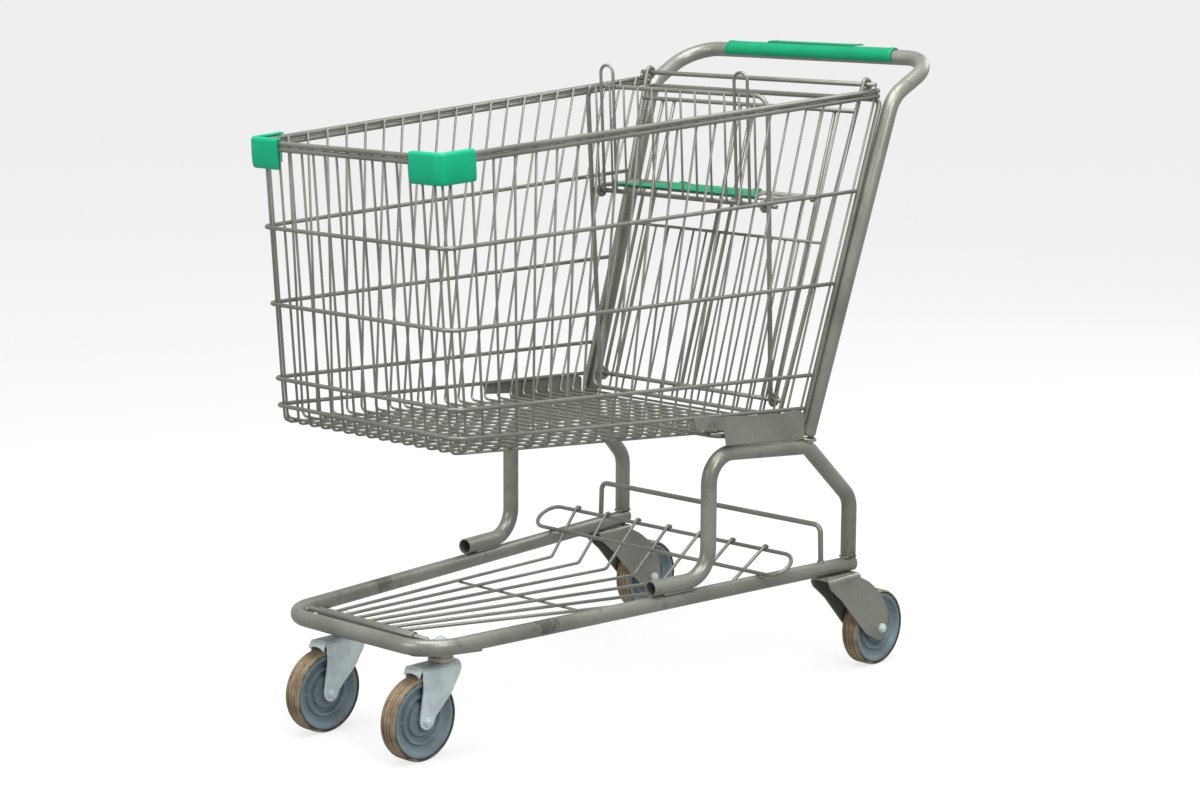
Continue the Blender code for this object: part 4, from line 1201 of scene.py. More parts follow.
@dataclass
class RearFork:
    """One fixed rear fork: stamped channel under the rail's end, painted with the frame."""

    lines: Layout
    palette: Palette
    side: Side
    x: float = 0.2525
    axle_y: float = 0.398
    wheel_radius: float = 0.0625
    fork: FoldedFork = field(default_factory=lambda: FoldedFork(bend=0.0060))

    def build(self) -> Piece:
        """Draws the channel and the web that closes its rear.

        Returns:
            The finished piece.
        """
        top = self.lines.rail_foot - self.lines.gap
        rise = top - self.wheel_radius
        front = [(-0.0205, -0.0030), (-0.0170, -0.0130), (-0.0120, -0.0210), (-0.0060, -0.0360),
                 (0.0100, -0.0530),
                 (0.0300, -0.0720), (0.0620, -0.1020), (0.0800, -0.1240), (0.0905, -0.1380),
                 (rise - 0.008, -0.1380)]
        rear = [(-0.0205, 0.0000), (-0.0170, 0.0095), (-0.0100, 0.0155), (0.0000, 0.0175), (0.0200, 0.0165),
                (0.0400, 0.0095), (0.0600, -0.0060), (0.0760, -0.0240), (0.0880, -0.0420),
                (rise - 0.008, -0.0580)]
        heights = [-0.0205, -0.0190, -0.0150, -0.0100, -0.0040, *spread(0.004, rise - 0.008, 12)]
        rows = [(h, broken_line(front, h), broken_line(rear, h)) for h in heights]
        sketch = Sketch()
        middle = self.side.value * self.x
        self.fork.draw(sketch, middle, (self.axle_y, self.wheel_radius), top, rows, 10)
        half = self.fork.gap / 2 + 0.0004
        web = [[(middle + x, self.axle_y + broken_line(rear, h) - 0.0016, self.wheel_radius + h)
                for x in spread(-half, half, 5)] for h in spread(0.069, rise - 0.0085, 8)]
        sketch.sheet(web, self.fork.sheet * 0.8)
        for offset in (-1.0, 1.0):
            seam = [(middle + offset * 0.0095, self.axle_y - back, top - 0.0002)
                    for back in (0.128, 0.075)]
            sketch.seam(seam, 0.0020)
        return sketch.piece("rear_fork_channel_" + self.side.tag, CHASSIS, self.palette.paint,
                            ["rear_fork_" + self.side.tag], bevel=0.0007)


@dataclass
class Wheel:
    """A grooved rubber tyre on a stepped plastic hub, and the bolt they turn on."""

    palette: Palette
    name: str
    body: str
    bolt_body: str
    centre: tuple[float, float, float]
    radius: float = 0.0625
    half: float = 0.0150
    rim: float = 0.0490
    lip: float = 0.0570
    fork_half: float = 0.0201
    groove: float = 0.0013
    segments: int = 96

    def tyre(self) -> Piece:
        """Draws the tyre, with three worn grooves and soft shoulders.

        Returns:
            The finished piece.
        """
        edge = self.half
        side = [(self.rim + 0.0002, edge - 0.0046), (self.lip - 0.0002, edge - 0.0046),
                (self.lip, edge - 0.0014),
                (self.lip + 0.0012, edge - 0.0003), (self.radius - 0.0034, edge),
                (self.radius - 0.0020, edge - 0.0007),
                (self.radius - 0.0008, edge - 0.0020), (self.radius - 0.0002, edge - 0.0036)]
        tread = []
        for middle in (0.0068, 0.0, -0.0068):
            tread += [(self.radius, middle + 0.0012), (self.radius - self.groove, middle + 0.0006),
                      (self.radius - self.groove, middle - 0.0006), (self.radius, middle - 0.0012)]
        profile = side + tread + [(r, -x) for r, x in reversed(side)]
        sketch = Sketch()
        sketch.turned(profile, Axis.X, self.centre, self.segments)
        return sketch.piece(self.name + "_tread", self.body, self.palette.rubber,
                            [self.name + "_tyre"],
                            origin=self.centre)

    def hub(self) -> Piece:
        """Draws the hub: outer ring, recessed ring, raised boss and bearing.

        Returns:
            The finished piece.
        """
        flange = self.lip - 0.0004
        side = [(0.0051, 0.0160), (0.0100, 0.0160), (0.0108, 0.0152), (0.0112, 0.0108), (0.0225, 0.0100),
                (0.0248, 0.0092), (0.0256, 0.0056), (0.0268, 0.0046), (0.0312, 0.0044), (0.0324, 0.0052),
                (0.0332, 0.0096), (0.0344, 0.0108), (0.0368, 0.0108), (0.0380, 0.0096), (0.0390, 0.0062),
                (0.0440, 0.0066), (0.0480, 0.0096), (0.0502, 0.0132), (0.0514, 0.0142),
                (flange - 0.0008, 0.0142),
                (flange, 0.0136), (flange, 0.0108), (self.rim, 0.0106)]
        profile = side + [(r, -x) for r, x in reversed(side)]
        sketch = Sketch()
        sketch.turned(profile, Axis.X, self.centre, self.segments)
        return sketch.piece(self.name + "_centre", self.body, self.palette.hub,
                            [self.name + "_hub"],
                            origin=self.centre)

    def bolt(self) -> Piece:
        """Draws the hexagonal bolt and its nut, with a washer under each.

        Returns:
            The finished piece.
        """
        sketch = Sketch()
        out = self.fork_half + 0.0003
        stem = 0.0044
        sketch.turned([(0.0, -out), (stem, -out), (stem, out + 0.0058), (stem * 0.8, out + 0.0066),
                       (0.0, out + 0.0066)],
                      Axis.X, self.centre, 20)
        for sign, height in ((1.0, 0.0048), (-1.0, 0.0052)):
            first, second = sorted((sign * out, sign * (out + 0.0010)))
            sketch.turned([(stem + 0.0001, first), (0.0082, first), (0.0082, second),
                           (stem + 0.0001, second)],
                          Axis.X, self.centre, 32)
            low, high = sorted((sign * (out + 0.0010), sign * (out + 0.0010 + height - 0.0008)))
            sketch.hexagon(self.centre, Axis.X, 0.0130, low, high)
        node = self.name.replace("_wheel_", "_axle_bolt_")
        return sketch.piece(node + "_set", self.bolt_body, self.palette.zinc, [node],
                            origin=self.centre)

    def build(self) -> None:
        """Builds the wheel and its bolt."""
        self.tyre()
        self.hub()
        self.bolt()


# ---------------------------------------------------------------- handle
@dataclass
class HandleFrame:
    """The uprights bent over into the push bar, with the green half sleeve and its blank panel."""

    lines: Layout
    palette: Palette
    top_z: float = 0.930
    bend: float = 0.060
    grip_half: float = 0.178
    grip_sheet: float = 0.0025
    panel_half: float = 0.093
    panel_depth: float = 0.030
    panel_sheet: float = 0.0020

    def uprights(self) -> Piece:
        """Draws the uprights and the push bar, and the welds at their feet.

        Returns:
            The finished piece.
        """
        at = self.lines
        low, high = (at.upright_foot_y, at.upright_foot_z), (at.upright_y(self.top_z), self.top_z)
        left = [(at.rail_x(low[0]), *low), (at.rail_x(high[0]), *high),
                (at.rail_x(high[0]) + 0.004, at.handle_y, at.handle_z)]
        sketch = Sketch()
        sketch.tube(left + mirrored(left), at.tube, self.bend, 28, 16)
        for x in (left[0][0], -left[0][0]):
            ring = [(x + a, low[0] + b * 1.06,
                     at.shoulder_end_z + at.tube + 0.0012 - b * 0.12 - abs(a) * 0.20)
                    for a, b in arc((0.0, 0.0), at.tube + 0.0002, 0, 345, 23)]
            sketch.seam(ring, 0.0024, True)
        return sketch.piece("push_frame", CHASSIS, self.palette.paint, ["handle_frame"])

    def grip(self) -> Piece:
        """Draws the half sleeve: thin over its length, with a thicker collar at each end.

        Returns:
            The finished piece.
        """
        at = self.lines
        centre = (at.handle_y, at.handle_z)
        inner = at.tube + at.gap
        outer = inner + self.grip_sheet
        sketch = Sketch()
        stations = [(-self.grip_half, 0.0), (-self.grip_half + 0.0015, 0.0007),
                    (-self.grip_half + 0.010, 0.0007),
                    (-self.grip_half + 0.013, 0.0), (self.grip_half - 0.013, 0.0),
                    (self.grip_half - 0.010, 0.0007),
                    (self.grip_half - 0.0015, 0.0007), (self.grip_half, 0.0)]
        rings = []
        for x, extra in stations:
            outline = arc(centre, outer + extra, -28, 208,
                          28) + list(reversed(arc(centre, inner, -28, 208, 28)))
            rings.append([sketch.mesh.verts.new((x, y, z)) for y, z in outline])
        sketch.skin(rings)
        sketch.mesh.faces.new(rings[0])
        sketch.mesh.faces.new(rings[-1])
        return sketch.piece("grip_sleeve", CHASSIS, self.palette.deep_green, ["handle_grip"],
                            bevel=0.0005)

    def panel(self) -> Piece:
        """Draws the blank card panel with its rounded corners and two low end ribs.

        Returns:
            The finished piece.
        """
        at = self.lines
        low = at.handle_z + at.tube + 2 * at.gap + self.grip_sheet
        y = at.handle_y - 0.004
        box = [(-self.panel_half, y, 0.0), (self.panel_half, y, 0.0),
               (self.panel_half, y + self.panel_depth, 0.0),
               (-self.panel_half, y + self.panel_depth, 0.0)]
        sketch = Sketch()
        sketch.plate([(p.x, p.y) for p in fillet(box, 0.0030, 5, True)], low, low + self.panel_sheet,
                     Axis.Z)
        for x in (-self.panel_half + 0.004, self.panel_half - 0.004):
            sketch.plate([(x - 0.0012, y + 0.003), (x + 0.0012, y + 0.003),
                          (x + 0.0012, y + self.panel_depth - 0.003),
                          (x - 0.0012, y + self.panel_depth - 0.003)], low + self.panel_sheet * 0.6,
                         low + self.panel_sheet + 0.0008, Axis.Z)
        return sketch.piece("card_holder", CHASSIS, self.palette.deep_green, ["card_panel"],
                            bevel=0.0006)

    def build(self) -> None:
        """Builds the handle."""
        self.uprights()
        self.grip()
        self.panel()


# ---------------------------------------------------------------- basket
@dataclass
class Basket:
    """The wire basket: hoops and rim outside, bent wires inside, support rod and brackets beneath."""

    lines: Layout
    palette: Palette
    side_wires: int = 23
    front_wires: int = 15
    hoop_levels: tuple[float, ...] = (0.050, 0.150, 0.425, 0.704)
    floor_bend: float = 0.009
    cross_rod_z: float = 0.926
    hinge_y: float = 0.378
    hinge_z: float = 0.950
    hinge_rod: float = 0.0040
    support_y: float = 0.040
    support_half: float = 0.222
    bracket_sheet: float = 0.0020

    def hoops(self) -> None:
        """Draws the four hoops and the two rim rods."""
        at = self.lines
        for number, level in enumerate(self.hoop_levels, 1):
            sketch = Sketch()
            sketch.tube(at.wall_path(level), at.rod, sides=14)
            sketch.piece(f"hoop_{number}", CHASSIS, self.palette.wire_paint,
                         [f"basket_hoop_{number}"])
        for name, sign in (("lower", -1.0), ("upper", 1.0)):
            sketch = Sketch()
            sketch.tube(at.wall_path(1.0, lift=sign * (at.rim_rod + at.gap / 2)), at.rim_rod, sides=14)
            sketch.piece("rim_rod_" + name, CHASSIS, self.palette.wire_paint,
                         ["basket_rim_" + name])

    def hooped_wires(self) -> Piece:
        """Draws the wires that run down one side, across the floor and up the other, with their welds.

        Returns:
            The finished piece.
        """
        at = self.lines
        sketch = Sketch()
        top = 1.0 + at.rim_rod * 1.6 / (at.rim_front[1] - at.floor_front[1])
        for share in spread(0.0, 1.0, self.side_wires):
            high, low = at.wall_point(share, top, at.wall_inset), at.wall_point(share, 0.0, at.wall_inset)
            floor = Vector((low.x, low.y, at.floor_z(low.y)))
            sketch.tube([high, floor, *mirrored([high, floor])], at.wire, self.floor_bend, 8, 4)
            for level in self.hoop_levels:
                spot = at.wall_point(share, level, at.rod)
                sketch.bead(spot, at.wire * 1.15)
                sketch.bead((-spot.x, spot.y, spot.z), at.wire * 1.15)
        return sketch.piece("basket_hooped_wires", CHASSIS, self.palette.wire_paint,
                            ["basket_side_left", "basket_side_right"])

    def long_wires(self) -> Piece:
        """Draws the wires that run down the front and back along the floor, and the corner wires.

        Returns:
            The finished piece.
        """
        at = self.lines
        sketch = Sketch()
        half = at.basket_x(at.rim_front[0]) - at.basket_corner
        top = 1.0 + at.rim_rod * 1.6 / (at.rim_front[1] - at.floor_front[1])
        rear_y = at.floor_rear[0] - at.wire
        under = 2 * at.wire
        front_half = at.basket_x(at.floor_front[0])
        for x in spread(-half, half, self.front_wires):
            high_y, high_z = at.front_line(top)
            low_y = at.floor_front[0] + at.wall_inset
            fan = x * at.basket_x(rear_y) / front_half
            sketch.tube([(x, high_y + at.wall_inset, high_z), (x, low_y, at.floor_z(low_y) - under),
                         (fan, rear_y, at.floor_z(rear_y) - under)], at.wire, self.floor_bend, 8, 4)
            for level in self.hoop_levels:
                y, z = at.front_line(level)
                sketch.bead((x, y + at.rod, z), at.wire * 1.15)
        for side in Side:
            start_y = at.floor_front[0] + at.basket_corner
            sketch.tube([(side.value * (front_half - 0.019), start_y, at.floor_z(start_y) - under),
                         (side.value * (at.basket_x(rear_y) - 0.024), rear_y, at.floor_z(rear_y) - under)],
                         at.wire, sides=8)
            reach = (at.basket_corner - at.wall_inset) * math.sqrt(0.5)
            line = []
            for level in (top, 0.0):
                y, z = at.front_line(level)
                x = at.basket_x(y) - at.basket_corner + reach
                line.append(Vector((side.value * x, y + at.basket_corner - reach,
                                    z - (0.0 if level else under))))
            inward = line[-1] + Vector((-side.value * 0.016, 0.016, -0.001))
            sketch.tube([*line, inward], at.wire, self.floor_bend * 0.8, 8, 4)
        return sketch.piece("basket_long_wires", CHASSIS, self.palette.wire_paint,
                            ["basket_front", "basket_floor"])

    def rear_rods(self) -> None:
        """Draws the rear edge rod, the hinge rod and the support rod."""
        at = self.lines
        low = at.floor_rear[1] + 0.004
        side = [(at.basket_x(at.edge_rod_y(low)), at.edge_rod_y(low), low),
                (at.basket_x(at.edge_rod_y(self.cross_rod_z)), at.edge_rod_y(self.cross_rod_z),
                 self.cross_rod_z)]
        sketch = Sketch()
        sketch.tube(side + mirrored(side), at.edge_rod, 0.012, 14, 8)
        sketch.piece("rear_edge_rod", CHASSIS, self.palette.wire_paint, ["basket_rear_rod"])
        reach = at.basket_x(self.hinge_y) + at.rim_rod
        sketch = Sketch()
        sketch.tube([(-reach, self.hinge_y, self.hinge_z), (reach, self.hinge_y, self.hinge_z)],
                    self.hinge_rod, sides=16)
        for x in (reach - 0.003, 0.003 - reach):
            sketch.bead((x, self.hinge_y - 0.001, self.hinge_z - 0.006), 0.0052, 1.0)
        sketch.piece("hinge_rod", CHASSIS, self.palette.wire_paint, ["gate_hinge_rod"])
        drop = at.wire + at.rim_rod + at.gap
        end_y = at.floor_rear[0]
        line = [(self.support_half, end_y, at.floor_z(end_y) - drop - at.wire),
                (self.support_half, self.support_y, at.floor_z(self.support_y) - drop - at.wire)]
        sketch = Sketch()
        sketch.tube(line + mirrored(line), at.rim_rod, 0.018, 14, 8)
        sketch.piece("support_rod", CHASSIS, self.palette.wire_paint, ["basket_support_rod"])

    def bracket(self, side: Side) -> Piece:
        """Draws the notched plate that ties the basket to a side frame.

        Args:
            side: which side.

        Returns:
            The finished piece.
        """
        at = self.lines

        def foot(y: float) -> float:
            """Returns the height just above the side frame."""
            return mix(at.shoulder_z, at.shoulder_end_z,
                       (y - at.leg_y) / (at.shoulder_end_y - at.leg_y)) + at.tube + 4 * at.gap
        outline = [(-0.026, 0.462), (0.165, 0.446), (0.202, 0.448), (0.222, 0.440), (0.222, foot(0.222)),
                   (0.046, foot(0.046)), (0.040, 0.436), (-0.020, 0.442)]
        rounded = fillet([(0.0, y, z) for y, z in outline], 0.0035, 4, True)
        sketch = Sketch()
        layers = []
        for out in (0.0, self.bracket_sheet):
            layers.append([sketch.mesh.verts.new((side.value * (at.basket_x(p.y) + at.rod + at.gap + out),
                                                  p.y, p.z))
                           for p in rounded])
        for layer in layers:
            sketch.mesh.faces.new(layer)
        sketch.skin(layers)
        return sketch.piece("bracket_plate_" + side.tag, CHASSIS, self.palette.paint,
                            ["side_bracket_" + side.tag], bevel=0.0005)

    def build(self) -> None:
        """Builds the basket."""
        self.hoops()
        self.hooped_wires()
        self.long_wires()
        self.rear_rods()
        for side in Side:
            self.bracket(side)


@dataclass
class CornerBumper:
    """A green guard hooked over the rim at a nose corner."""

    lines: Layout
    palette: Palette
    side: Side
    sheet: float = 0.0050
    height: float = 0.034
    reach: float = 0.060
    corner: float = 0.012

    def build(self) -> Piece:
        """Draws the guard as one crowned section carried round the corner.

        Returns:
            The finished piece.
        """
        at = self.lines
        top = 2 * at.rim_rod + 2 * at.gap
        section = [(0.0, -self.height + 0.0010), (0.0, top), (0.0060, top), (0.0060, top + 0.0030),
                   (-self.sheet + 0.0030, top + 0.0030), (-self.sheet + 0.0008, top + 0.0012),
                   (-self.sheet, top - 0.0020),
                   (-self.sheet - 0.0004, -self.height * 0.4), (-self.sheet, -self.height + 0.0070),
                   (-self.sheet + 0.0012, -self.height + 0.0020), (-self.sheet + 0.0030, -self.height)]
        front_y, front_z = at.front_line(1.0)
        outward = at.rim_rod + at.gap
        corner = Vector((at.basket_x(front_y) + outward, front_y - outward, front_z))
        rise = (at.rear_line(1.0)[1] - front_z) / (at.rear_line(1.0)[0] - front_y)
        widen = at.basket_x(front_y + self.reach) - at.basket_x(front_y)
        path = fillet([corner + Vector((widen, self.reach, rise * self.reach)), corner,
                       corner - Vector((self.reach, 0.0, 0.0))],
                      self.corner, 10)
        sketch = Sketch()
        rings = sketch.rings(path, section)
        sketch.skin(rings)
        sketch.mesh.faces.new(rings[0])
        sketch.mesh.faces.new(rings[-1])
        bmesh.ops.scale(sketch.mesh, vec=(self.side.value, 1.0, 1.0), verts=sketch.mesh.verts)
        return sketch.piece("bumper_" + self.side.tag, CHASSIS, self.palette.bright_green,
                            ["corner_bumper_" + self.side.tag], bevel=0.0007)


# ---------------------------------------------------------------- gate and child seat
@dataclass
class RearGate:
    """The gate on the hinge rod: outer rod, cross rods, thin wires and three pairs of leg bars."""

    lines: Layout
    palette: Palette
    hinge_y: float = 0.378
    hinge_z: float = 0.950
    hinge_rod: float = 0.0040
    run: float = 0.0006
    lean: float = 0.310
    rod: float = 0.0036
    top_half: float = 0.230
    foot_half: float = 0.203
    top_z: float = 0.908
    mid_z: float = 0.702
    pivot_z: float = 0.455
    foot_z: float = 0.432
    wires: int = 13
    wire_span: float = 0.168
    pair_x: float = 0.172
    pair_half: float = 0.013

    @property
    def slant(self) -> float:
        """Length along the gate for each metre of height."""
        return math.hypot(1.0, self.lean)

    @property
    def eye_radius(self) -> float:
        """Middle radius of the eyes on the hinge rod."""
        return self.hinge_rod + self.run + self.rod

    def y(self, z: float) -> float:
        """Where the gate's plane is at a height."""
        return self.hinge_y - self.eye_radius * self.slant - self.lean * (self.hinge_z - z)

    def half(self, z: float) -> float:
        """Half width of the outer rod at a height."""
        return mix(self.foot_half, self.top_half, (z - self.foot_z) / (self.top_z - self.foot_z))

    def point(self, x: float, z: float, off: float = 0.0) -> Vector:
        """Returns a point on the gate, off square to it towards the handle."""
        return Vector((x, self.y(z) + off / self.slant, z - off * self.lean / self.slant))

    def outer(self) -> Piece:
        """Draws the outer rod with its eyes, and the top and pivot rods.

        Returns:
            The finished piece.
        """
        curl = eye((0.0, self.hinge_y, self.hinge_z), self.eye_radius, HALF_TURN - math.atan(self.lean),
                   -math.radians(270.0))
        top = self.half(self.hinge_z)
        left = [Vector((top, p.y, p.z)) for p in reversed(curl)]
        foot = [left[-1], self.point(self.half(self.foot_z), self.foot_z)]
        path = left[:-1] + fillet(foot + mirrored(foot), 0.014, 8) + mirrored(left[:-1])
        sketch = Sketch()
        sketch.tube(path, self.rod, sides=12)
        for z in (self.top_z, self.pivot_z):
            half = self.half(z)
            sketch.tube([self.point(-half, z), self.point(half, z)], self.rod, sides=12)
        return sketch.piece("gate_rods", "rear_gate", self.palette.wire_paint, ["gate_frame"])

    def grille(self) -> Piece:
        """Draws the thin wires between the pivot rod and the middle rod.

        Returns:
            The finished piece.
        """
        at = self.lines
        sketch = Sketch()
        behind = self.rod * 0.55
        for x in spread(-self.wire_span, self.wire_span, self.wires):
            sketch.tube([self.point(x, self.foot_z + 0.002, behind), self.point(x, self.mid_z, behind)],
                        at.wire * 0.92, sides=8)
        half = self.half(self.mid_z) - self.rod
        sketch.tube([self.point(-half, self.mid_z), self.point(half, self.mid_z)], at.wire * 1.25, sides=10)
        return sketch.piece("gate_grille", "rear_gate", self.palette.wire_paint, ["gate_grid"])

    def pairs(self) -> None:
        """Draws the three pairs of leg bars, which run on down to the pivot rod."""
        at = self.lines
        for name, middle in (("left", self.pair_x), ("centre", 0.0), ("right", -self.pair_x)):
            high = self.top_z + self.rod * 0.4
            behind = at.rod * 0.9
            sketch = Sketch()
            for sign in (1.0, -1.0):
                x = middle + sign * self.pair_half
                sketch.tube([self.point(x, self.pivot_z - self.rod * 0.4, behind),
                             self.point(x, high, behind)], at.rod * 0.94)
            sketch.piece("gate_pair_" + name, "rear_gate", self.palette.wire_paint,
                         ["gate_leg_bars_" + name])

    def build(self) -> None:
        """Builds the gate."""
        self.outer()
        self.grille()
        self.pairs()


@dataclass
class ChildSeat:
    """The seat back with its head loops, the seat on its cross rod, and the green flap."""

    lines: Layout
    palette: Palette
    gate: RearGate
    lean: float = 0.055
    top_z: float = 0.938
    half: float = 0.193
    foot_half: float = 0.186
    rod: float = 0.0038
    level: float = 0.765
    wires: int = 12
    loop_x: float = 0.143
    loop_half: float = 0.0135
    loop_top: float = 0.973
    depth: float = 0.095
    seat_half: float = 0.176
    bar_half: float = 0.203
    seat_wires: int = 7
    flap_half: float = 0.150
    flap_rear_half: float = 0.092
    flap_depth: float = 0.080
    flap_sheet: float = 0.0030

    @property
    def slant(self) -> float:
        """Length along the seat back for each metre of height."""
        return math.hypot(1.0, self.lean)

    @property
    def foot(self) -> Vector:
        """The pivot on the gate."""
        return self.gate.point(0.0, self.gate.pivot_z)

    @property
    def foot_eye(self) -> float:
        """Middle radius of the eyes on the gate's pivot rod."""
        return self.gate.rod + self.gate.run + self.rod

    def back_point(self, x: float, z: float, off: float = 0.0) -> Vector:
        """Returns a point on the seat back, off square to it towards the handle."""
        y = self.foot.y - self.foot_eye * self.slant - self.lean * (z - self.foot.z)
        return Vector((x, y + off / self.slant, z + off * self.lean / self.slant))

    @property
    def pivot(self) -> Vector:
        """The seat's pivot, in the middle of the cross rod."""
        return self.back_point(0.0, self.level, 2 * self.rod + self.lines.gap)

    @property
    def seat_eye(self) -> float:
        """Middle radius of the seat's eyes on the cross rod."""
        return self.rod + self.gate.run + self.gate.rod

    def back_rod(self) -> Piece:
        """Draws the seat back's bent rod with an eye at each foot.

        Returns:
            The finished piece.
        """
        curl = eye((0.0, self.foot.y, self.foot.z), self.foot_eye, HALF_TURN + math.atan(self.lean),
                   math.radians(270.0))
        left = [Vector((self.foot_half, p.y, p.z)) for p in reversed(curl)]
        over = [left[-1], self.back_point(self.half, self.top_z)]
        sketch = Sketch()
        sketch.tube(left[:-1] + fillet(over + mirrored(over), 0.024, 10) + mirrored(left[:-1]), self.rod,
                    sides=14)
        return sketch.piece("seat_back_rod", "seat_back", self.palette.wire_paint,
                            ["seat_back_frame"])

    def back_wires(self) -> Piece:
        """Draws the seat back's wires and the two head loops.

        Returns:
            The finished piece.
        """
        wire = self.lines.wire
        sketch = Sketch()
        ahead = -(self.rod + wire * 0.6)
        inner = self.half - self.rod - 0.020
        for x in spread(-inner, inner, self.wires):
            sketch.tube([self.back_point(x, self.level + 0.002, ahead),
                         self.back_point(x, self.top_z + 0.001, ahead)],
                        wire * 0.95, sides=8)
        sketch.tube([self.back_point(-self.half + 0.006, self.level + 0.004, ahead * 0.4),
                     self.back_point(self.half - 0.006, self.level + 0.004, ahead * 0.4)], wire * 1.1,
                     sides=10)
        for side in Side:
            loop = [self.back_point(side.value * self.loop_x + sign * self.loop_half, z, ahead - wire * 0.4)
                    for sign,
                    z in ((1.0, self.level), (1.0, self.loop_top), (-1.0, self.loop_top),
                          (-1.0, self.level))]
            sketch.tube(loop, wire * 1.3, self.loop_half * 0.96, 10, 10)
        return sketch.piece("seat_back_wires", "seat_back", self.palette.wire_paint,
                            ["seat_back_grid"])

    def cross_rod(self) -> Piece:
        """Draws the rod that the seat hangs on.

        Returns:
            The finished piece.
        """
        reach = Vector((self.half + 0.008, 0.0, 0.0))
        sketch = Sketch()
        sketch.tube([self.pivot - reach, self.pivot + reach], self.rod, sides=16)
        return sketch.piece("cross_rod", "seat_back", self.palette.wire_paint,
                            ["seat_cross_rod"])

    def seat(self) -> None:
        """Draws the seat's side rods, rear bar and wires."""
        level, rear_y = self.pivot.z + self.seat_eye, self.pivot.y + self.depth
        curl = eye((0.0, self.pivot.y, self.pivot.z), self.seat_eye, HALF_TURN / 2, math.radians(270.0))
        sketch = Sketch()
        sketch.tube([(-self.bar_half, rear_y, level), (self.bar_half, rear_y, level)], self.gate.rod,
                    sides=14)
        for side in Side:
            x = side.value * self.seat_half
            line = [Vector((x, p.y, p.z)) for p in reversed(curl)] + [Vector((x, rear_y, level))]
            sketch.tube(line, self.gate.rod, sides=14)
            sketch.bead((side.value * (self.bar_half - 0.008), rear_y, level - 0.0035), 0.0060, 0.8)
        sketch.piece("seat_rods", "seat", self.palette.wire_paint, ["seat_frame"])
        wire = self.lines.wire
        inner = self.seat_half - self.gate.rod - 0.012
        sketch = Sketch()
        front_y = self.pivot.y + self.rod
        for x in spread(-inner, inner, self.seat_wires):
            sketch.tube([(x, front_y + 0.008, level), (x, rear_y - 0.004, level)], wire, sides=8)
        for y in (front_y + 0.012, rear_y - 0.010):
            sketch.tube([(-self.seat_half, y, level), (self.seat_half, y, level)], wire, sides=8)
        sketch.piece("seat_wires", "seat", self.palette.wire_paint, ["seat_grid"])

    def flap(self) -> Piece:
        """Draws the flap: a thin plate with cut corners, ribs beneath and clips round the rear bar.

        Returns:
            The finished piece.
        """
        level, rear_y = self.pivot.z + self.seat_eye, self.pivot.y + self.depth
        low = level + self.lines.wire + self.lines.gap
        back, front = rear_y - self.gate.rod - 0.0015, rear_y - self.gate.rod - 0.004 - self.flap_depth
        edge = [(self.flap_half, front, 0.0), (self.flap_half, front + 0.008, 0.0),
                (self.flap_rear_half, back - 0.010, 0.0), (self.flap_rear_half, back, 0.0)]
        corners = edge + [(-x, y, z) for x, y, z in reversed(edge)]
        radii = [0.004, 0.003, 0.016, 0.001, 0.001, 0.016, 0.003, 0.004]
        sketch = Sketch()
        face = low + self.flap_sheet - 0.0008
        sketch.plate([(p.x, p.y) for p in fillet(corners, radii, 5, True)], low, face, Axis.Z)
        inner, outer = self.gate.rod + self.gate.run, self.gate.rod + self.gate.run + 0.0022
        spacing = 2 * (self.seat_half - self.gate.rod - self.lines.gap - 0.012) / (self.seat_wires - 1)
        for side in Side:
            middle = side.value * spacing * 1.5
            ring = arc((rear_y, level), outer, 155, -120,
                       16) + list(reversed(arc((rear_y, level), inner, 155, -120, 16)))
            sketch.plate(ring, middle - 0.006, middle + 0.006, Axis.X)
        rib = self.flap_rear_half - 0.006
        for y in (front + 0.014, front + 0.042):
            sketch.plate([(-rib, y), (rib, y), (rib, y + 0.0016), (-rib, y + 0.0016)], face - 0.0004,
                         face + 0.0006, Axis.Z)
        return sketch.piece("flap_plate", "seat_flap", self.palette.deep_green, ["seat_flap"],
                            bevel=0.0005)

    def build(self) -> None:
        """Builds the child seat."""
        self.back_rod()
        self.back_wires()
        self.cross_rod()
        self.seat()
        self.flap()


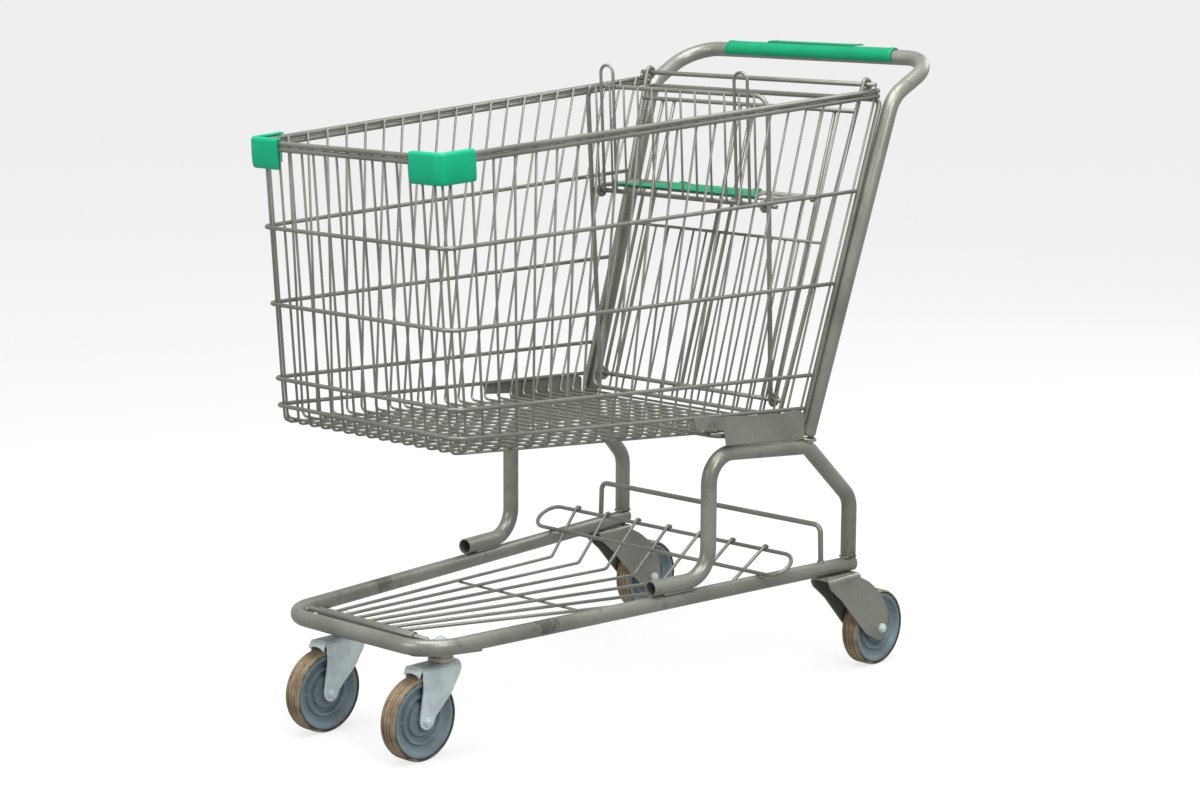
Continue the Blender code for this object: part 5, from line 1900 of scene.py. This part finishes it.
# ---------------------------------------------------------------- lower tray
@dataclass
class LowerTray:
    """The hinged tray: kinked wires from a rolled sleeve to a long loop, over a cross wire."""

    lines: Layout
    palette: Palette
    pivot: tuple[float, float] = (-0.488, 0.186)
    sleeve_half: float = 0.104
    front_half: float = 0.076
    kink: tuple[float, float] = (0.092, 0.158)
    kink_half: float = 0.186
    top: tuple[float, float] = (0.172, 0.217)
    top_half: float = 0.206
    cross_y: float = -0.164
    wires: int = 7
    wire: float = 0.0027
    hinge_rod: float = 0.0040
    sleeve_wall: float = 0.0020
    run: float = 0.0006
    loop_half: float = 0.272
    loop_width: float = 0.052

    def rods(self) -> Piece:
        """Draws the kinked wires, the cross wire beneath them and the sleeve.

        Returns:
            The finished piece.
        """
        sketch = Sketch()
        outer = self.hinge_rod + self.run + self.sleeve_wall
        start = (self.pivot[0] + outer * 0.5, self.pivot[1] + outer * 0.55)
        rod = self.lines.rod
        hook_y, hook_z = self.top[0] + rod, self.top[1] + rod
        for share in spread(-1.0, 1.0, self.wires):
            hook = [(share * self.top_half, hook_y + dy, hook_z + dz) for dy, dz in
                    arc((0.001, 0.0005), rod + self.wire + self.lines.gap, 150, 20, 8)]
            path = fillet([(share * self.front_half, *start), (share * self.kink_half, *self.kink),
                           hook[0]],
                          0.012, 5) + [Vector(p) for p in hook[1:]]
            sketch.tube(path, self.wire, sides=10)
        reach = (self.cross_y - start[0]) / (self.kink[0] - start[0])
        half = mix(self.front_half, self.kink_half, reach)
        z = mix(start[1], self.kink[1], reach) - self.wire - self.lines.wire * 0.8
        sketch.tube([(-half - 0.006, self.cross_y, z), (half + 0.006, self.cross_y, z)],
                    self.lines.wire * 1.1, sides=10)
        bore = self.hinge_rod + self.run
        sketch.turned([(bore, -self.sleeve_half), (outer - 0.0004, -self.sleeve_half),
                       (outer, -self.sleeve_half + 0.0006),
                       (outer, self.sleeve_half - 0.0006), (outer - 0.0004, self.sleeve_half),
                       (bore, self.sleeve_half)],
                      Axis.X, (0.0, *self.pivot), 28)
        return sketch.piece("tray_rods", "lower_tray", self.palette.wire_paint, ["tray_wires"])

    def loop(self) -> Piece:
        """Draws the long loop that lies on the rails.

        Returns:
            The finished piece.
        """
        at = self.lines
        low_z = at.rail_top + at.rod + at.gap
        high = Vector((0.0, self.top[0] + at.rod + at.gap + 0.001, self.top[1] + at.rod))
        drop = high.z - low_z
        low = Vector((0.0, high.y - math.sqrt(self.loop_width ** 2 - drop ** 2), low_z))
        across = Vector((self.loop_half, 0.0, 0.0))
        path = fillet([low + across, high + across, high - across, low - across],
                      self.loop_width / 2 * 0.98, 12, True)
        sketch = Sketch()
        sketch.tube(path, at.rod, sides=14, closed=True)
        return sketch.piece("tray_end_loop", "lower_tray", self.palette.wire_paint,
                            ["tray_loop"])

    def hinge(self) -> Piece:
        """Draws the rod that the tray turns on, between the nose's bends.

        Returns:
            The finished piece.
        """
        at = self.lines
        inner = at.nose_bend - at.rail_width / 2
        depth = at.nose_y + at.nose_bend - self.pivot[0]
        reach = at.nose_half - at.nose_bend + math.sqrt(inner ** 2 - depth ** 2) - self.hinge_rod
        sketch = Sketch()
        sketch.tube([(-reach, *self.pivot), (reach, *self.pivot)], self.hinge_rod, sides=16)
        for x in (reach, -reach):
            sketch.bead((x, self.pivot[0] - 0.001, self.pivot[1] - 0.001), 0.0050, 0.9)
        return sketch.piece("tray_pivot_rod", CHASSIS, self.palette.paint, ["tray_hinge_rod"])

    def build(self) -> None:
        """Builds the tray."""
        self.rods()
        self.loop()
        self.hinge()


# ---------------------------------------------------------------- studio
@dataclass(frozen=True)
class SoftBox:
    """One square area light."""

    name: str
    place: tuple[float, float, float]
    target: tuple[float, float, float]
    size: float
    power: float

    def hang(self) -> None:
        """Puts the light in the scene, turned to its target."""
        data = bpy.data.lights.new(self.name, "AREA")
        data.size = self.size
        data.energy = self.power
        lamp = bpy.data.objects.new(self.name, data)
        lamp.location = self.place
        lamp.rotation_euler = (Vector(self.target) - Vector(self.place)).to_track_quat("-Z", "Y").to_euler()
        bpy.context.scene.collection.objects.link(lamp)


@dataclass
class Studio:
    """Pale floor, soft light and the camera."""

    eye: tuple[float, float, float] = (2.9268, -3.0985, 1.2135)
    yaw: float = 0.7553
    pitch: float = 0.1753
    roll: float = 0.0049
    lens: float = 82.135
    sensor: float = 36.0
    floor_reach: float = 90.0
    backdrop_height: float = 20.0
    boxes: tuple[SoftBox, ...] = (
        SoftBox("overhead", (0.4, -0.6, 3.4), (0.0, 0.0, 0.5), 2.6, 120.0),
        SoftBox("key", (3.8, -1.2, 2.9), (0.0, 0.0, 0.6), 1.5, 70.0),
        SoftBox("nose_fill", (-0.6, -4.2, 2.0), (0.0, 0.0, 0.5), 1.8, 42.0),
        SoftBox("back_rim", (0.2, 3.8, 2.6), (0.0, 0.0, 0.7), 2.2, 40.0),
    )

    def camera(self) -> Piece:
        """Places the camera from its yaw, pitch and roll.

        Returns:
            The camera.
        """
        data = bpy.data.cameras.new("camera")
        data.lens = self.lens
        data.sensor_width = self.sensor
        forward = Vector((-math.sin(self.yaw) * math.cos(self.pitch),
                          math.cos(self.yaw) * math.cos(self.pitch),
                          -math.sin(self.pitch)))
        right = forward.cross(Vector((0.0, 0.0, 1.0))).normalized()
        above = right.cross(forward)
        tilt_right = right * math.cos(self.roll) + above * math.sin(self.roll)
        tilt_above = above * math.cos(self.roll) - right * math.sin(self.roll)
        columns = Matrix((tilt_right, tilt_above, -forward)).transposed()
        item = bpy.data.objects.new("camera", data)
        item.matrix_world = Matrix.Translation(Vector(self.eye)) @ columns.to_4x4()
        bpy.context.scene.collection.objects.link(item)
        bpy.context.scene.camera = item
        return item

    def floor(self) -> Piece:
        """Lays a wide, evenly pale floor with a backdrop round it; neither throws light back on the cart.

        Returns:
            The floor.
        """
        mesh = bmesh.new()
        bmesh.ops.create_grid(mesh, x_segments=1, y_segments=1, size=self.floor_reach)
        rim = [edge for edge in mesh.edges if edge.is_boundary]
        raised = bmesh.ops.extrude_edge_only(mesh, edges=rim)["geom"]
        for corner in (item for item in raised if isinstance(item, bmesh.types.BMVert)):
            corner.co.z = self.backdrop_height
        data = bpy.data.meshes.new("floor")
        mesh.to_mesh(data)
        mesh.free()
        graph = Graph("pale_floor")
        data.materials.append(graph.surface(Base_Color=(0.24, 0.24, 0.24), Roughness=0.8,
                                            Specular_IOR_Level=0.0,
                                            Emission_Color=(1.0, 1.0, 1.0), Emission_Strength=0.74))
        item = bpy.data.objects.new("floor", data)
        item.visible_diffuse = False
        item.visible_glossy = False
        item.visible_shadow = False
        bpy.context.scene.collection.objects.link(item)
        return item

    def sky(self) -> None:
        """Sets an even white surrounding."""
        world = bpy.data.worlds.new("studio_white")
        world.use_nodes = True
        shade = world.node_tree.nodes["Background"]
        shade.inputs["Color"].default_value = (1.0, 1.0, 1.0, 1.0)
        shade.inputs["Strength"].default_value = 0.50
        bpy.context.scene.world = world

    def build(self) -> None:
        """Sets the studio up."""
        bpy.context.scene.view_settings.view_transform = "Standard"
        self.sky()
        self.floor()
        for box in self.boxes:
            box.hang()
        self.camera()


def wheels(palette: Palette) -> list[Wheel]:
    """Returns the cart's four wheels.

    Args:
        palette: the finishes.

    Returns:
        The wheels, ready to build.
    """
    made = []
    for side in Side:
        for place, holder, (x, y) in (("front", "caster_" + side.tag, FRONT_WHEEL),
                                      ("rear", CHASSIS, REAR_WHEEL)):
            name = f"{place}_wheel_{side.tag}"
            made.append(Wheel(palette, name, name, holder, (side.value * x, y, Wheel.radius)))
    return made


def main() -> None:
    """Builds every sub-assembly in order, then the studio."""
    logging.basicConfig(level=logging.INFO, format="%(message)s")
    palette = Palette.mixed()
    lines = Layout()
    gate = RearGate(lines, palette)
    assemblies = [BaseFrame(lines, palette), HandleFrame(lines, palette), Basket(lines, palette), gate,
                  ChildSeat(lines, palette, gate), LowerTray(lines, palette), *wheels(palette)]
    for side in Side:
        assemblies += [Caster(lines, palette, side), RearFork(lines, palette, side),
                       CornerBumper(lines, palette, side)]
    assemblies.append(Studio())
    for assembly in assemblies:
        assembly.build()
        log.info("built %s", type(assembly).__name__)


if __name__ == "__main__":
    main()
